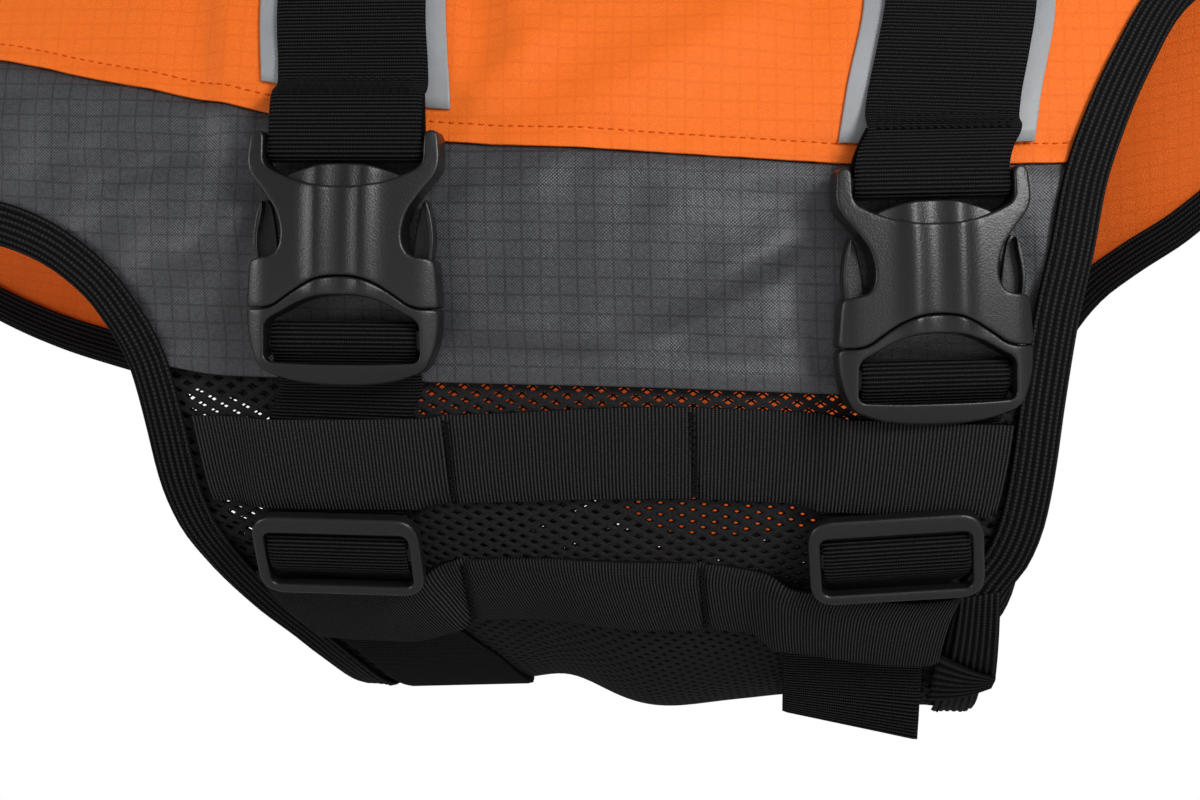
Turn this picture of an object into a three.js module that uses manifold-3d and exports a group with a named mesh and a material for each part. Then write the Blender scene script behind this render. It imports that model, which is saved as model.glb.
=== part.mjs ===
// Dog life jacket, worn shape without the dog. Millimetres, +Z up.
// +X points to the head and -Y is the buckled side. The origin is where the
// back carries the jacket: the underside of the lining on the spine.
import * as THREE from 'three';
import Module from 'manifold-3d';
import { mergeVertices } from 'three/addons/utils/BufferGeometryUtils.js';

const wasm = await Module();
wasm.setup();

// Driving sizes
const BACK_THICKNESS = 7.2;
const LINING_THICKNESS = 1.2;
const EDGE_THICKNESS = 3;
const EDGE_DROP = 1.5;
const EDGE_FLAT = 6;
const EDGE_RISE = 26;
const SEAM_GAP = 0.3;
const BINDING_OUTSTAND = 3;
const BELLY_SEAM_ANGLE = 116.3;
const WEBBING_WIDTH = 40;
const WEBBING_THICKNESS = 1.5;
const TAPE_WIDTH = 50;
const TAPE_THICKNESS = 0.8;
const BAND_THICKNESS = 1.2;
const STRAP_VALLEY = 1.2;
const STRAP_VALLEY_WIDTH = 26;
const STRAP_VALLEY_END = { fromAngle: 96, toAngle: 112 };
const WEBBING_GAP = 0.4;
const DEGREE = Math.PI / 180;

// Torso sections from tail to neck: half width, and the outer cloth's top and bottom height
const SECTIONS = [
  { x: -320, halfWidth: 88, top: -6, bottom: -190 },
  { x: -250, halfWidth: 102, top: -2, bottom: -225 },
  { x: -160, halfWidth: 114, top: 0, bottom: -258 },
  { x: -80, halfWidth: 118, top: 0, bottom: -268 },
  { x: 0, halfWidth: 116, top: 0, bottom: -273 },
  { x: 80, halfWidth: 106, top: 0, bottom: -277 },
  { x: 120, halfWidth: 99, top: 0, bottom: -278 },
  { x: 180, halfWidth: 88, top: 4, bottom: -268 },
  { x: 240, halfWidth: 78, top: 14, bottom: -235 },
  { x: 290, halfWidth: 70, top: 24, bottom: -200 },
];

// Rear hem, by angle from the spine: over the rump, up the flank, then the belly panel's rear edge
const REAR_HEM = [
  { angle: 0, x: -300 },
  { angle: 40, x: -299 },
  { angle: 60, x: -295 },
  { angle: 75, x: -288 },
  { angle: 85, x: -279 },
  { angle: 91, x: -268 },
  { angle: 95, x: -256 },
  { angle: 97.7, x: -240 },
  { angle: 99.4, x: -222 },
  { angle: 100.5, x: -197 },
  { angle: 101.4, x: -176 },
  { angle: 102.6, x: -160 },
  { angle: 105, x: -147 },
  { angle: 109.5, x: -135 },
  { angle: 117, x: -125 },
  { angle: 124, x: -122 },
  { angle: 132, x: -120 },
  { angle: 138, x: -117 },
  { angle: 144, x: -111 },
  { angle: 152, x: -102 },
  { angle: 160, x: -94 },
  { angle: 170, x: -89 },
  { angle: 180, x: -87 },
];

// Front edge on the buckled side: neckline, rear of the leg opening, belly panel's front edge
const FRONT_EDGE_NEAR = [
  { angle: 0, x: 240 },
  { angle: 25, x: 238 },
  { angle: 42, x: 230 },
  { angle: 54, x: 214 },
  { angle: 62, x: 193 },
  { angle: 67.5, x: 172 },
  { angle: 72.8, x: 156 },
  { angle: 79.8, x: 146 },
  { angle: 86, x: 138 },
  { angle: 93.4, x: 131 },
  { angle: 101, x: 127 },
  { angle: 108.5, x: 123 },
  { angle: 117.8, x: 120 },
  { angle: 126.6, x: 117 },
  { angle: 133, x: 114 },
  { angle: 138, x: 110 },
  { angle: 144.5, x: 103 },
  { angle: 155, x: 100 },
  { angle: 180, x: 97 },
];

// Front edge on the far side, where the leg opening's edge hangs lower
const FRONT_EDGE_FAR = [
  { angle: 0, x: 240 },
  { angle: 25, x: 239 },
  { angle: 45, x: 235 },
  { angle: 60, x: 226 },
  { angle: 70, x: 214 },
  { angle: 77, x: 197 },
  { angle: 82.5, x: 178 },
  { angle: 85.5, x: 162 },
  { angle: 88.3, x: 150 },
  { angle: 92, x: 141 },
  { angle: 97, x: 133 },
  { angle: 103, x: 128 },
  { angle: 110, x: 124 },
  { angle: 117.8, x: 120 },
  { angle: 126.6, x: 117 },
  { angle: 133, x: 114 },
  { angle: 138, x: 110 },
  { angle: 144.5, x: 103 },
  { angle: 155, x: 100 },
  { angle: 180, x: 97 },
];

// Seam between the back panel and the side bands, from tail to front
const BACK_SEAM = [
  { x: -300, angle: 77.5 },
  { x: -200, angle: 79.2 },
  { x: -162, angle: 80.5 },
  { x: -132, angle: 83.1 },
  { x: -116, angle: 84.3 },
  { x: -84, angle: 87.2 },
  { x: -40, angle: 90.3 },
  { x: 7, angle: 91.3 },
  { x: 37, angle: 91.8 },
  { x: 70, angle: 92.1 },
  { x: 119, angle: 91.2 },
  { x: 150, angle: 90.4 },
];

// Centre line of each strap, by angle from the spine
const STRAPS = {
  rear: [
    { angle: 0, x: -69 },
    { angle: 73, x: -65 },
    { angle: 88, x: -62.5 },
    { angle: 104, x: -64 },
    { angle: 118, x: -67 },
    { angle: 133, x: -72 },
    { angle: 144, x: -74 },
    { angle: 155, x: -64.5 },
    { angle: 166, x: -55.5 },
    { angle: 180, x: -52 },
  ],
  front: [
    { angle: 0, x: 103 },
    { angle: 73, x: 95 },
    { angle: 84, x: 90 },
    { angle: 92, x: 87.2 },
    { angle: 106, x: 85.4 },
    { angle: 119, x: 84.4 },
    { angle: 131, x: 76.5 },
    { angle: 144, x: 67.5 },
    { angle: 155, x: 63 },
    { angle: 180, x: 61 },
  ],
};

// Folds of the belly panel: where each bulge or hollow lies, its reach and its height
const BELLY_FOLDS = [
  { x: -48, angle: 176, reachX: 16, reachAngle: 26, height: 2.5 },
  { x: -20, angle: 178, reachX: 15, reachAngle: 26, height: -4.5 },
  { x: 16, angle: 178, reachX: 20, reachAngle: 28, height: 3 },
  { x: 48, angle: 172, reachX: 13, reachAngle: 20, height: -2 },
];

// A smooth curve through a table's rows that never overshoots them
function curve(rows, key, value) {
  const keys = rows.map((row) => row[key]);
  const values = rows.map((row) => row[value]);
  const slopes = keys.slice(1).map((k, i) => (values[i + 1] - values[i]) / (k - keys[i]));
  const tangents = values.map((_, i) => {
    if (i === 0) return slopes[0];
    if (i === values.length - 1) return slopes[i - 1];
    const before = slopes[i - 1];
    const after = slopes[i];
    if (before * after <= 0) return 0;
    return (2 * before * after) / (before + after);
  });
  return (at) => {
    let i = keys.findIndex((k) => k > at) - 1;
    if (at <= keys[0]) i = 0;
    if (i < 0) i = keys.length - 2;
    const span = keys[i + 1] - keys[i];
    const t = THREE.MathUtils.clamp((at - keys[i]) / span, 0, 1);
    const t2 = t * t;
    const t3 = t2 * t;
    return (
      (2 * t3 - 3 * t2 + 1) * values[i] +
      (t3 - 2 * t2 + t) * span * tangents[i] +
      (3 * t2 - 2 * t3) * values[i + 1] +
      (t3 - t2) * span * tangents[i + 1]
    );
  };
}

const halfWidthAt = curve(SECTIONS, 'x', 'halfWidth');
const topAt = curve(SECTIONS, 'x', 'top');
const bottomAt = curve(SECTIONS, 'x', 'bottom');
const hemByAngle = curve(REAR_HEM, 'angle', 'x');
const nearFrontByAngle = curve(FRONT_EDGE_NEAR, 'angle', 'x');
const farFrontByAngle = curve(FRONT_EDGE_FAR, 'angle', 'x');
const backSeamByX = curve(BACK_SEAM, 'x', 'angle');
const strapByAngle = {
  rear: curve(STRAPS.rear, 'angle', 'x'),
  front: curve(STRAPS.front, 'angle', 'x'),
};

const lerp = THREE.MathUtils.lerp;
const smoothstep = THREE.MathUtils.smoothstep;

// Angles run from the spine, positive down the buckled side, on past 180 to the far side.
// The tables give the binding's outer rim, and the cloth stops short of it.
function foldedAngle(angle) {
  const turned = ((angle % 360) + 360) % 360;
  return turned > 180 ? 360 - turned : turned;
}

function isFarSide(angle) {
  return ((angle % 360) + 360) % 360 > 180;
}

function hemX(angle) {
  return hemByAngle(foldedAngle(angle)) + BINDING_OUTSTAND;
}

function frontX(angle) {
  const rimByAngle = isFarSide(angle) ? farFrontByAngle : nearFrontByAngle;
  return rimByAngle(foldedAngle(angle)) - BINDING_OUTSTAND;
}

function strapX(strap, angle) {
  return strapByAngle[strap](foldedAngle(angle));
}

// The torso's outer surface, with the straps' shallow valleys and the belly's folds
function torsoPoint(x, angle) {
  const top = topAt(x) + BACK_THICKNESS;
  const bottom = bottomAt(x) + BACK_THICKNESS;
  const turn = angle * DEGREE;
  return new THREE.Vector3(
    x,
    -halfWidthAt(x) * Math.sin(turn),
    (top + bottom) / 2 + ((top - bottom) / 2) * Math.cos(turn),
  );
}

function surfaceFrame(x, angle) {
  const step = 0.5;
  const along = torsoPoint(x + step, angle).sub(torsoPoint(x - step, angle)).divideScalar(2 * step);
  const around = torsoPoint(x, angle + step).sub(torsoPoint(x, angle - step)).divideScalar(2 * step);
  const normal = new THREE.Vector3().crossVectors(along, around).normalize();
  const centre = new THREE.Vector3(x, 0, (topAt(x) + bottomAt(x)) / 2);
  if (normal.dot(torsoPoint(x, angle).sub(centre)) < 0) normal.negate();
  return { along, around, normal };
}

function relief(x, angle) {
  const folded = foldedAngle(angle);
  const onBody = 1 - smoothstep(folded, STRAP_VALLEY_END.fromAngle, STRAP_VALLEY_END.toAngle);
  let height = 0;
  for (const strap of ['rear', 'front']) {
    const away = (x - strapX(strap, angle)) / STRAP_VALLEY_WIDTH;
    height -= STRAP_VALLEY * onBody * Math.exp(-away * away);
  }
  for (const fold of BELLY_FOLDS) {
    const awayX = (x - fold.x) / fold.reachX;
    const awayAngle = (folded - fold.angle) / fold.reachAngle;
    height += fold.height * Math.exp(-awayX * awayX - awayAngle * awayAngle);
  }
  return height;
}

function surfacePoint(x, angle, lift) {
  const { normal } = surfaceFrame(x, angle);
  return torsoPoint(x, angle).addScaledVector(normal, relief(x, angle) + lift);
}

// The place that lies a given distance from another, in a direction along the surface
function shifted(x, angle, direction, distance) {
  const { along, around } = surfaceFrame(x, angle);
  return {
    x: x + (distance * direction.dot(along)) / along.lengthSq(),
    angle: angle + (distance * direction.dot(around)) / around.lengthSq(),
  };
}

function colourMaterial(hex, roughness) {
  return new THREE.MeshStandardMaterial({ color: hex, roughness, metalness: 0 });
}

const orangeCloth = colourMaterial(0xf08a3a, 0.75);
const greyCloth = colourMaterial(0x55565a, 0.8);
const liningCloth = colourMaterial(0xe8843c, 0.8);
const airMesh = colourMaterial(0x2a2a2c, 0.9);
const blackWebbing = colourMaterial(0x2e2e30, 0.85);
const blackElastic = colourMaterial(0x323234, 0.85);
const reflectiveTape = colourMaterial(0x9a9c9f, 0.5);
const blackPlastic = colourMaterial(0x3a3a3c, 0.45);

const jacket = new THREE.Group();

function addMesh(name, points, triangles, material) {
  let volume = 0;
  const cross = new THREE.Vector3();
  for (const [a, b, c] of triangles) {
    volume += points[a].dot(cross.crossVectors(points[b], points[c]));
  }
  const geometry = new THREE.BufferGeometry();
  const numbers = points.flatMap((point) => [point.x, point.y, point.z]);
  geometry.setAttribute('position', new THREE.Float32BufferAttribute(numbers, 3));
  geometry.setIndex(triangles.flatMap(([a, b, c]) => (volume < 0 ? [a, c, b] : [a, b, c])));
  geometry.computeVertexNormals();
  const mesh = new THREE.Mesh(geometry, material);
  mesh.name = name;
  jacket.add(mesh);
}

// A closed wall between an outer and an inner grid of points
function addWall(name, outerRows, innerRows, material) {
  const rows = outerRows.length;
  const columns = outerRows[0].length;
  const points = [...outerRows.flat(), ...innerRows.flat()];
  const outer = (r, c) => r * columns + c;
  const inner = (r, c) => rows * columns + r * columns + c;
  const triangles = [];
  const quad = (a, b, c, d) => triangles.push([a, b, c], [a, c, d]);
  const lastRow = rows - 1;
  const lastColumn = columns - 1;
  for (let r = 0; r < lastRow; r += 1) {
    for (let c = 0; c < lastColumn; c += 1) {
      quad(outer(r, c), outer(r, c + 1), outer(r + 1, c + 1), outer(r + 1, c));
      quad(inner(r, c), inner(r + 1, c), inner(r + 1, c + 1), inner(r, c + 1));
    }
    quad(outer(r, 0), outer(r + 1, 0), inner(r + 1, 0), inner(r, 0));
    quad(outer(r, lastColumn), inner(r, lastColumn), inner(r + 1, lastColumn), outer(r + 1, lastColumn));
  }
  for (let c = 0; c < lastColumn; c += 1) {
    quad(outer(0, c), inner(0, c), inner(0, c + 1), outer(0, c + 1));
    quad(outer(lastRow, c), outer(lastRow, c + 1), inner(lastRow, c + 1), inner(lastRow, c));
  }
  addMesh(name, points, triangles, material);
}

// A closed bar swept through rings of points, either a loop or with two flat ends
function addSweep(name, rings, isLoop, material) {
  const sides = rings[0].length;
  const points = rings.flat();
  const triangles = [];
  const last = isLoop ? rings.length : rings.length - 1;
  for (let r = 0; r < last; r += 1) {
    const next = (r + 1) % rings.length;
    for (let s = 0; s < sides; s += 1) {
      const beside = (s + 1) % sides;
      triangles.push([r * sides + s, r * sides + beside, next * sides + beside]);
      triangles.push([r * sides + s, next * sides + beside, next * sides + s]);
    }
  }
  if (!isLoop) {
    const end = (rings.length - 1) * sides;
    for (let s = 1; s < sides - 1; s += 1) {
      triangles.push([0, s + 1, s], [end, end + s, end + s + 1]);
    }
  }
  addMesh(name, points, triangles, material);
}

// Body grid: columns from the hem to the front edge, rows from the far belly seam to the near one
const BODY_COLUMNS = 28;
const HEM_CORNER_COLUMN = 12;
const BAND_ROWS = 4;
const BACK_ROW_SHARES = [0, 0.14, 0.28, 0.41, 0.52, 0.61, 0.69, 0.77, 0.85, 0.93, 1];
const BAND_TIP_ANGLE = 86;
const BODY_REACH = { rear: -310, front: 250 };
const HALVINGS = 40;
// How fast a side band's pull toward its bound edges fades into the panel
const EDGE_PULL_POWER = 4;

// The place at a share of the way from hem to front on the line at a share of the seam's angle
function backPlace(share, seamShare, side) {
  let low = BODY_REACH.rear;
  let high = BODY_REACH.front;
  for (let i = 0; i < HALVINGS; i += 1) {
    const middle = (low + high) / 2;
    const angle = side * seamShare * backSeamByX(middle);
    const wanted = lerp(hemX(angle), frontX(angle), share);
    if (middle < wanted) low = middle;
    else high = middle;
  }
  return { x: low, angle: side * seamShare * backSeamByX(low) };
}

function hemRun(fromAngle, toAngle) {
  const steps = 120;
  const places = [];
  let length = 0;
  for (let i = 0; i <= steps; i += 1) {
    const angle = lerp(fromAngle, toAngle, i / steps);
    const point = torsoPoint(hemX(angle), angle);
    if (i > 0) length += point.distanceTo(places[i - 1].point);
    places.push({ angle, point, length });
  }
  return (share) => {
    const wanted = share * length;
    const i = Math.max(1, places.findIndex((place) => place.length >= wanted - 1e-9));
    const before = places[i - 1];
    const after = places[i];
    const t = (wanted - before.length) / (after.length - before.length);
    const angle = lerp(before.angle, after.angle, t);
    return { x: hemX(angle), angle };
  };
}

const bandHem = hemRun(BAND_TIP_ANGLE, BELLY_SEAM_ANGLE);

function bandLowerPlace(column, side) {
  if (column <= HEM_CORNER_COLUMN) {
    const place = bandHem(column / HEM_CORNER_COLUMN);
    return { x: place.x, angle: side * place.angle };
  }
  const share = (column - HEM_CORNER_COLUMN) / (BODY_COLUMNS - HEM_CORNER_COLUMN);
  const angle = side * BELLY_SEAM_ANGLE;
  return { x: lerp(hemX(angle), frontX(angle), share), angle };
}

function bandPlace(column, rowShare, side) {
  const share = column / BODY_COLUMNS;
  const blend = (upper, lower) => ({
    x: lerp(upper.x, lower.x, rowShare),
    angle: lerp(upper.angle, lower.angle, rowShare),
  });
  const place = blend(backPlace(share, 1, side), bandLowerPlace(column, side));
  const rear = blend(backPlace(0, 1, side), bandLowerPlace(0, side));
  const front = blend(backPlace(1, 1, side), bandLowerPlace(BODY_COLUMNS, side));
  place.x += (hemX(rear.angle) - rear.x) * (1 - share) ** EDGE_PULL_POWER;
  place.x += (frontX(front.angle) - front.x) * share ** EDGE_PULL_POWER;
  return place;
}

function bodyRow(placeAt) {
  return Array.from({ length: BODY_COLUMNS + 1 }, (_, column) => placeAt(column));
}

function bandGrid(side) {
  return Array.from({ length: BAND_ROWS + 1 }, (_, row) =>
    bodyRow((column) => bandPlace(column, row / BAND_ROWS, side)));
}

function backGrid() {
  const halves = [-1, 1].map((side) =>
    BACK_ROW_SHARES.map((seamShare) =>
      bodyRow((column) => backPlace(column / BODY_COLUMNS, seamShare, side))));
  return [...halves[0].reverse(), ...halves[1].slice(1)];
}

const backPlaces = backGrid();
const nearBandPlaces = bandGrid(1);
const farBandPlaces = bandGrid(-1).reverse();
const bodyPlaces = [...farBandPlaces, ...backPlaces.slice(1), ...nearBandPlaces.slice(1)];

// Distance from a point to the nearest bound edge or belly seam, where the foam thins out
const EDGE_SAMPLE = { degrees: 1.5, length: 4 };
const edgePoints = [];
for (let angle = -180; angle < 180; angle += EDGE_SAMPLE.degrees) {
  edgePoints.push(torsoPoint(hemX(angle), angle));
  edgePoints.push(torsoPoint(frontX(angle), angle));
}
for (let x = hemX(BELLY_SEAM_ANGLE); x < frontX(BELLY_SEAM_ANGLE); x += EDGE_SAMPLE.length) {
  edgePoints.push(torsoPoint(x, BELLY_SEAM_ANGLE));
  edgePoints.push(torsoPoint(x, -BELLY_SEAM_ANGLE));
}

function fullness(place) {
  const point = torsoPoint(place.x, place.angle);
  let nearest = Infinity;
  for (const edge of edgePoints) nearest = Math.min(nearest, edge.distanceToSquared(point));
  return smoothstep(Math.sqrt(nearest), EDGE_FLAT, EDGE_FLAT + EDGE_RISE);
}

// Lifts of the body's faces above the torso surface: outer cloth, back of the foam, lining
function bodyLifts(place) {
  const full = fullness(place);
  const outer = -EDGE_DROP * (1 - full);
  const inside = outer - lerp(EDGE_THICKNESS, BACK_THICKNESS, full);
  return { outer, foam: inside + LINING_THICKNESS + SEAM_GAP, lining: inside + LINING_THICKNESS, inside };
}

function lifted(grid, face) {
  return grid.map((row) => row.map((place) => surfacePoint(place.x, place.angle, bodyLifts(place)[face])));
}

// Draws one edge row of a grid in from its neighbour across a seam
function drawnIn(grid, row, toward, gap) {
  return grid.map((places, index) => {
    if (index !== row) return places;
    return places.map((place, column) => {
      const other = grid[toward][column];
      const from = torsoPoint(place.x, place.angle);
      const share = gap / 2 / Math.max(from.distanceTo(torsoPoint(other.x, other.angle)), 1);
      return { x: lerp(place.x, other.x, share), angle: lerp(place.angle, other.angle, share) };
    });
  });
}

function seamed(grid) {
  const last = grid.length - 1;
  return drawnIn(drawnIn(grid, 0, 1, SEAM_GAP), last, last - 1, SEAM_GAP);
}

function addBodyPanel(name, grid, outerFace, innerFace, material) {
  const places = seamed(grid);
  addWall(name, lifted(places, outerFace), lifted(places, innerFace), material);
}

addBodyPanel('back_panel', backPlaces, 'outer', 'foam', orangeCloth);
addBodyPanel('side_band_near', nearBandPlaces, 'outer', 'foam', greyCloth);
addBodyPanel('side_band_far', farBandPlaces, 'outer', 'foam', greyCloth);
addBodyPanel('lining', bodyPlaces, 'lining', 'inside', liningCloth);

// Belly panel of air mesh, from the near belly seam under the belly to the far one
const BELLY_ROWS = 18;
const BELLY_COLUMNS = 12;
const BELLY_OUTER = -EDGE_DROP;
const BELLY_INNER = BELLY_OUTER - EDGE_THICKNESS;

function bellyGrid() {
  return Array.from({ length: BELLY_ROWS + 1 }, (_, row) => {
    const angle = lerp(BELLY_SEAM_ANGLE, 360 - BELLY_SEAM_ANGLE, row / BELLY_ROWS);
    return Array.from({ length: BELLY_COLUMNS + 1 }, (__, column) => ({
      x: lerp(hemX(angle), frontX(angle), column / BELLY_COLUMNS),
      angle,
    }));
  });
}

function atLift(grid, lift) {
  return grid.map((row) => row.map((place) => surfacePoint(place.x, place.angle, lift)));
}

const bellyPlaces = seamed(bellyGrid());
addWall('belly_mesh', atLift(bellyPlaces, BELLY_OUTER), atLift(bellyPlaces, BELLY_INNER), airMesh);

// Elastic binding folded over an edge: distance in from the edge, and lift, round its section
const BINDING_SECTION = [
  { inward: -BINDING_OUTSTAND, lift: 0.2 },
  { inward: 9.4, lift: 0.7 },
  { inward: 9.4, lift: -0.4 },
  { inward: -1.8, lift: -0.8 },
  { inward: -1.8, lift: -5.4 },
  { inward: 9.4, lift: -6.2 },
  { inward: 9.4, lift: -7.3 },
  { inward: -BINDING_OUTSTAND, lift: -6.5 },
];
const BINDING_STEP = 14;

// Places evenly spaced round an edge that is given as x by angle
function evenLoop(xByAngle) {
  const fine = [];
  let length = 0;
  for (let angle = -180; angle <= 180; angle += 0.5) {
    const point = torsoPoint(xByAngle(angle), angle);
    if (fine.length > 0) length += point.distanceTo(fine[fine.length - 1].point);
    fine.push({ angle, point, length });
  }
  const count = Math.round(length / BINDING_STEP);
  return Array.from({ length: count }, (_, i) => {
    const wanted = (i / count) * length;
    const after = fine.findIndex((place) => place.length >= wanted - 1e-9);
    const angle = fine[after].angle;
    return { x: xByAngle(angle), angle };
  });
}

function bindingRings(xByAngle, inwardX) {
  const loop = evenLoop(xByAngle);
  return loop.map((place, i) => {
    const before = loop[(i + loop.length - 1) % loop.length];
    const after = loop[(i + 1) % loop.length];
    const { normal } = surfaceFrame(place.x, place.angle);
    const tangent = torsoPoint(after.x, after.angle).sub(torsoPoint(before.x, before.angle)).normalize();
    const inward = new THREE.Vector3().crossVectors(normal, tangent).normalize();
    if (inward.x * inwardX < 0) inward.negate();
    return BINDING_SECTION.map((corner) => {
      const at = shifted(place.x, place.angle, inward, corner.inward);
      return surfacePoint(at.x, at.angle, corner.lift);
    });
  });
}

addSweep('binding_rear', bindingRings(hemX, 1), true, blackElastic);
addSweep('binding_front', bindingRings(frontX, -1), true, blackElastic);

// Reflective tapes over the back, each ending just above the seam with the side bands
const TAPE_UNDER = 0.4;
const TAPE_ROWS = 34;
const TAPE_SEAM_CLEARANCE = { rear: 3.6, front: 2.2 };
const TAPE_END_ANGLE = 84;

function tapeGrid(strap) {
  return Array.from({ length: TAPE_ROWS + 1 }, (_, row) => {
    const share = lerp(-1, 1, row / TAPE_ROWS);
    return [-TAPE_WIDTH / 2, 0, TAPE_WIDTH / 2].map((across) => {
      const end = backSeamByX(strapX(strap, TAPE_END_ANGLE) + across) - TAPE_SEAM_CLEARANCE[strap];
      const angle = share * end;
      return { x: strapX(strap, angle) + across, angle };
    });
  });
}

for (const strap of ['rear', 'front']) {
  const places = tapeGrid(strap);
  const name = `reflective_tape_${strap}`;
  addWall(name, atLift(places, TAPE_UNDER + TAPE_THICKNESS), atLift(places, TAPE_UNDER), reflectiveTape);
}

// Buckles: place of the middle, lean in the plane of the cloth and turn about the strap
const BUCKLES = {
  rear: { x: -64, angle: 103.6, lift: 0.9, lean: -2, turn: 0 },
  front: { x: 84.6, angle: 106.2, lift: 1.4, lean: 0, turn: -4 },
};
const BUCKLE_BOW_RADIUS = 220;

function buckleFrame(buckle) {
  const { along, around, normal } = surfaceFrame(buckle.x, buckle.angle);
  const across = along.clone().addScaledVector(normal, -along.dot(normal)).normalize();
  const down = around.clone().normalize();
  across.addScaledVector(down, -across.dot(down)).normalize();
  const lean = buckle.lean * DEGREE;
  const turn = buckle.turn * DEGREE;
  across.applyAxisAngle(normal, lean);
  down.applyAxisAngle(normal, lean);
  across.applyAxisAngle(down, turn);
  const outward = normal.clone().applyAxisAngle(down, turn);
  const origin = surfacePoint(buckle.x, buckle.angle, buckle.lift);
  return { across, down, outward, origin };
}

// A point of the buckle: across, down the strap, and out, bowed a little round the flank
function bucklePoint(frame, u, v, w) {
  return frame.origin.clone()
    .addScaledVector(frame.across, u)
    .addScaledVector(frame.down, v)
    .addScaledVector(frame.outward, w - (v * v) / (2 * BUCKLE_BOW_RADIUS));
}

function solidOf(geometry) {
  geometry.deleteAttribute('normal');
  geometry.deleteAttribute('uv');
  const merged = mergeVertices(geometry, 1e-4);
  return new wasm.Manifold(new wasm.Mesh({
    numProp: 3,
    vertProperties: new Float32Array(merged.attributes.position.array),
    triVerts: new Uint32Array(merged.index.array),
  }));
}

// A plate cut to an outline, with softened rims, between two heights
function plate(outline, low, high, rim) {
  const shape = new THREE.Shape(outline.map(({ u, v }) => new THREE.Vector2(u, v)));
  const geometry = new THREE.ExtrudeGeometry(shape, {
    depth: high - low - 2 * rim,
    bevelEnabled: rim > 0,
    bevelThickness: rim,
    bevelSize: rim,
    bevelOffset: -rim,
    bevelSegments: 1,
    steps: 1,
  });
  geometry.translate(0, 0, low + rim);
  return solidOf(geometry);
}

function block(u0, u1, v0, v1, w0, w1) {
  const geometry = new THREE.BoxGeometry(u1 - u0, v1 - v0, w1 - w0);
  geometry.translate((u0 + u1) / 2, (v0 + v1) / 2, (w0 + w1) / 2);
  return solidOf(geometry);
}

// A round bar across the buckle
function crossBar(halfLength, v, w, radius) {
  const geometry = new THREE.CylinderGeometry(radius, radius, 2 * halfLength, 10);
  geometry.rotateZ(Math.PI / 2);
  geometry.translate(0, v, w);
  return solidOf(geometry);
}

function mirrored(half) {
  return [...half, ...half.slice().reverse().map(({ u, v }) => ({ u: -u, v }))];
}

// Right half of the socket's outline: concave top, flared ears, waist, shoulders, arched split
const SOCKET_HALF = [
  { u: 5, v: -18.2 },
  { u: 12, v: -19.6 },
  { u: 18, v: -22 },
  { u: 20.8, v: -24 },
  { u: 20.9, v: -32.6 },
  { u: 24.4, v: -32.6 },
  { u: 25.2, v: -25 },
  { u: 24.4, v: -21.4 },
  { u: 20.6, v: -17 },
  { u: 17, v: -12 },
  { u: 15.7, v: -7 },
  { u: 16, v: -3 },
  { u: 17.8, v: -0.4 },
  { u: 23.4, v: 0.4 },
  { u: 24.4, v: 1.6 },
  { u: 25.4, v: 12.9 },
  { u: 18.6, v: 12.9 },
  { u: 14, v: 9.6 },
  { u: 9, v: 6.4 },
  { u: 4, v: 4.6 },
];
// Right half of the insert's outline: arched top against the socket, tapered foot
const INSERT_HALF = [
  { u: 4, v: 4.9 },
  { u: 9, v: 6.7 },
  { u: 14, v: 9.9 },
  { u: 18.5, v: 13.2 },
  { u: 25.4, v: 13.2 },
  { u: 25, v: 20 },
  { u: 23.6, v: 25 },
  { u: 21.4, v: 29 },
  { u: 14, v: 31.8 },
  { u: 6, v: 33 },
];
// Right half of the insert's webbing slot
const SLOT_HALF = [
  { u: 5, v: 9.6 },
  { u: 11, v: 11.4 },
  { u: 16.5, v: 14.4 },
  { u: 20.2, v: 16.4 },
  { u: 20.4, v: 26.8 },
  { u: 10, v: 27.4 },
];
// Outline of the prong that shows in the right window and runs down inside the socket
const PRONG = [
  { u: 17.4, v: 14 },
  { u: 17.4, v: 2 },
  { u: 17.8, v: -3 },
  { u: 18.6, v: -9 },
  { u: 19.6, v: -13.6 },
  { u: 21.2, v: -15.6 },
  { u: 22.6, v: -12 },
  { u: 23.6, v: -6 },
  { u: 23.4, v: -1 },
  { u: 22.4, v: 2 },
  { u: 22.4, v: 14 },
];

const SOCKET = { back: 1, front: 11.4, rim: 0.9 };
const INSERT = { back: 1.6, front: 10.4, rim: 1 };
const PRONG_BODY = { back: 4.2, front: 8.2, rim: 0.6, clearance: 0.5 };
const PRONG_CHANNEL = { u0: 16.6, u1: 23.1, v0: -2, v1: 14 };
const RIDGE = { u: 5.7, halfWidth: 2.4, v0: -16, v1: 4, sunk: 1, proud: 0.8, rim: 0.7 };
const TOP_BAR = { v: -28.2, w: 5.4, radius: 2, halfLength: 22.8 };
const LADDER_BAR = { halfWidth: 21, v0: 18.4, v1: 23.8, w0: 3.6, w1: 5.4 };
const FOOT_UNDERCUT = { halfWidth: 20.4, v0: 26, v1: 36, top: 5.8 };
const CUT_PAST = 2;

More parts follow.
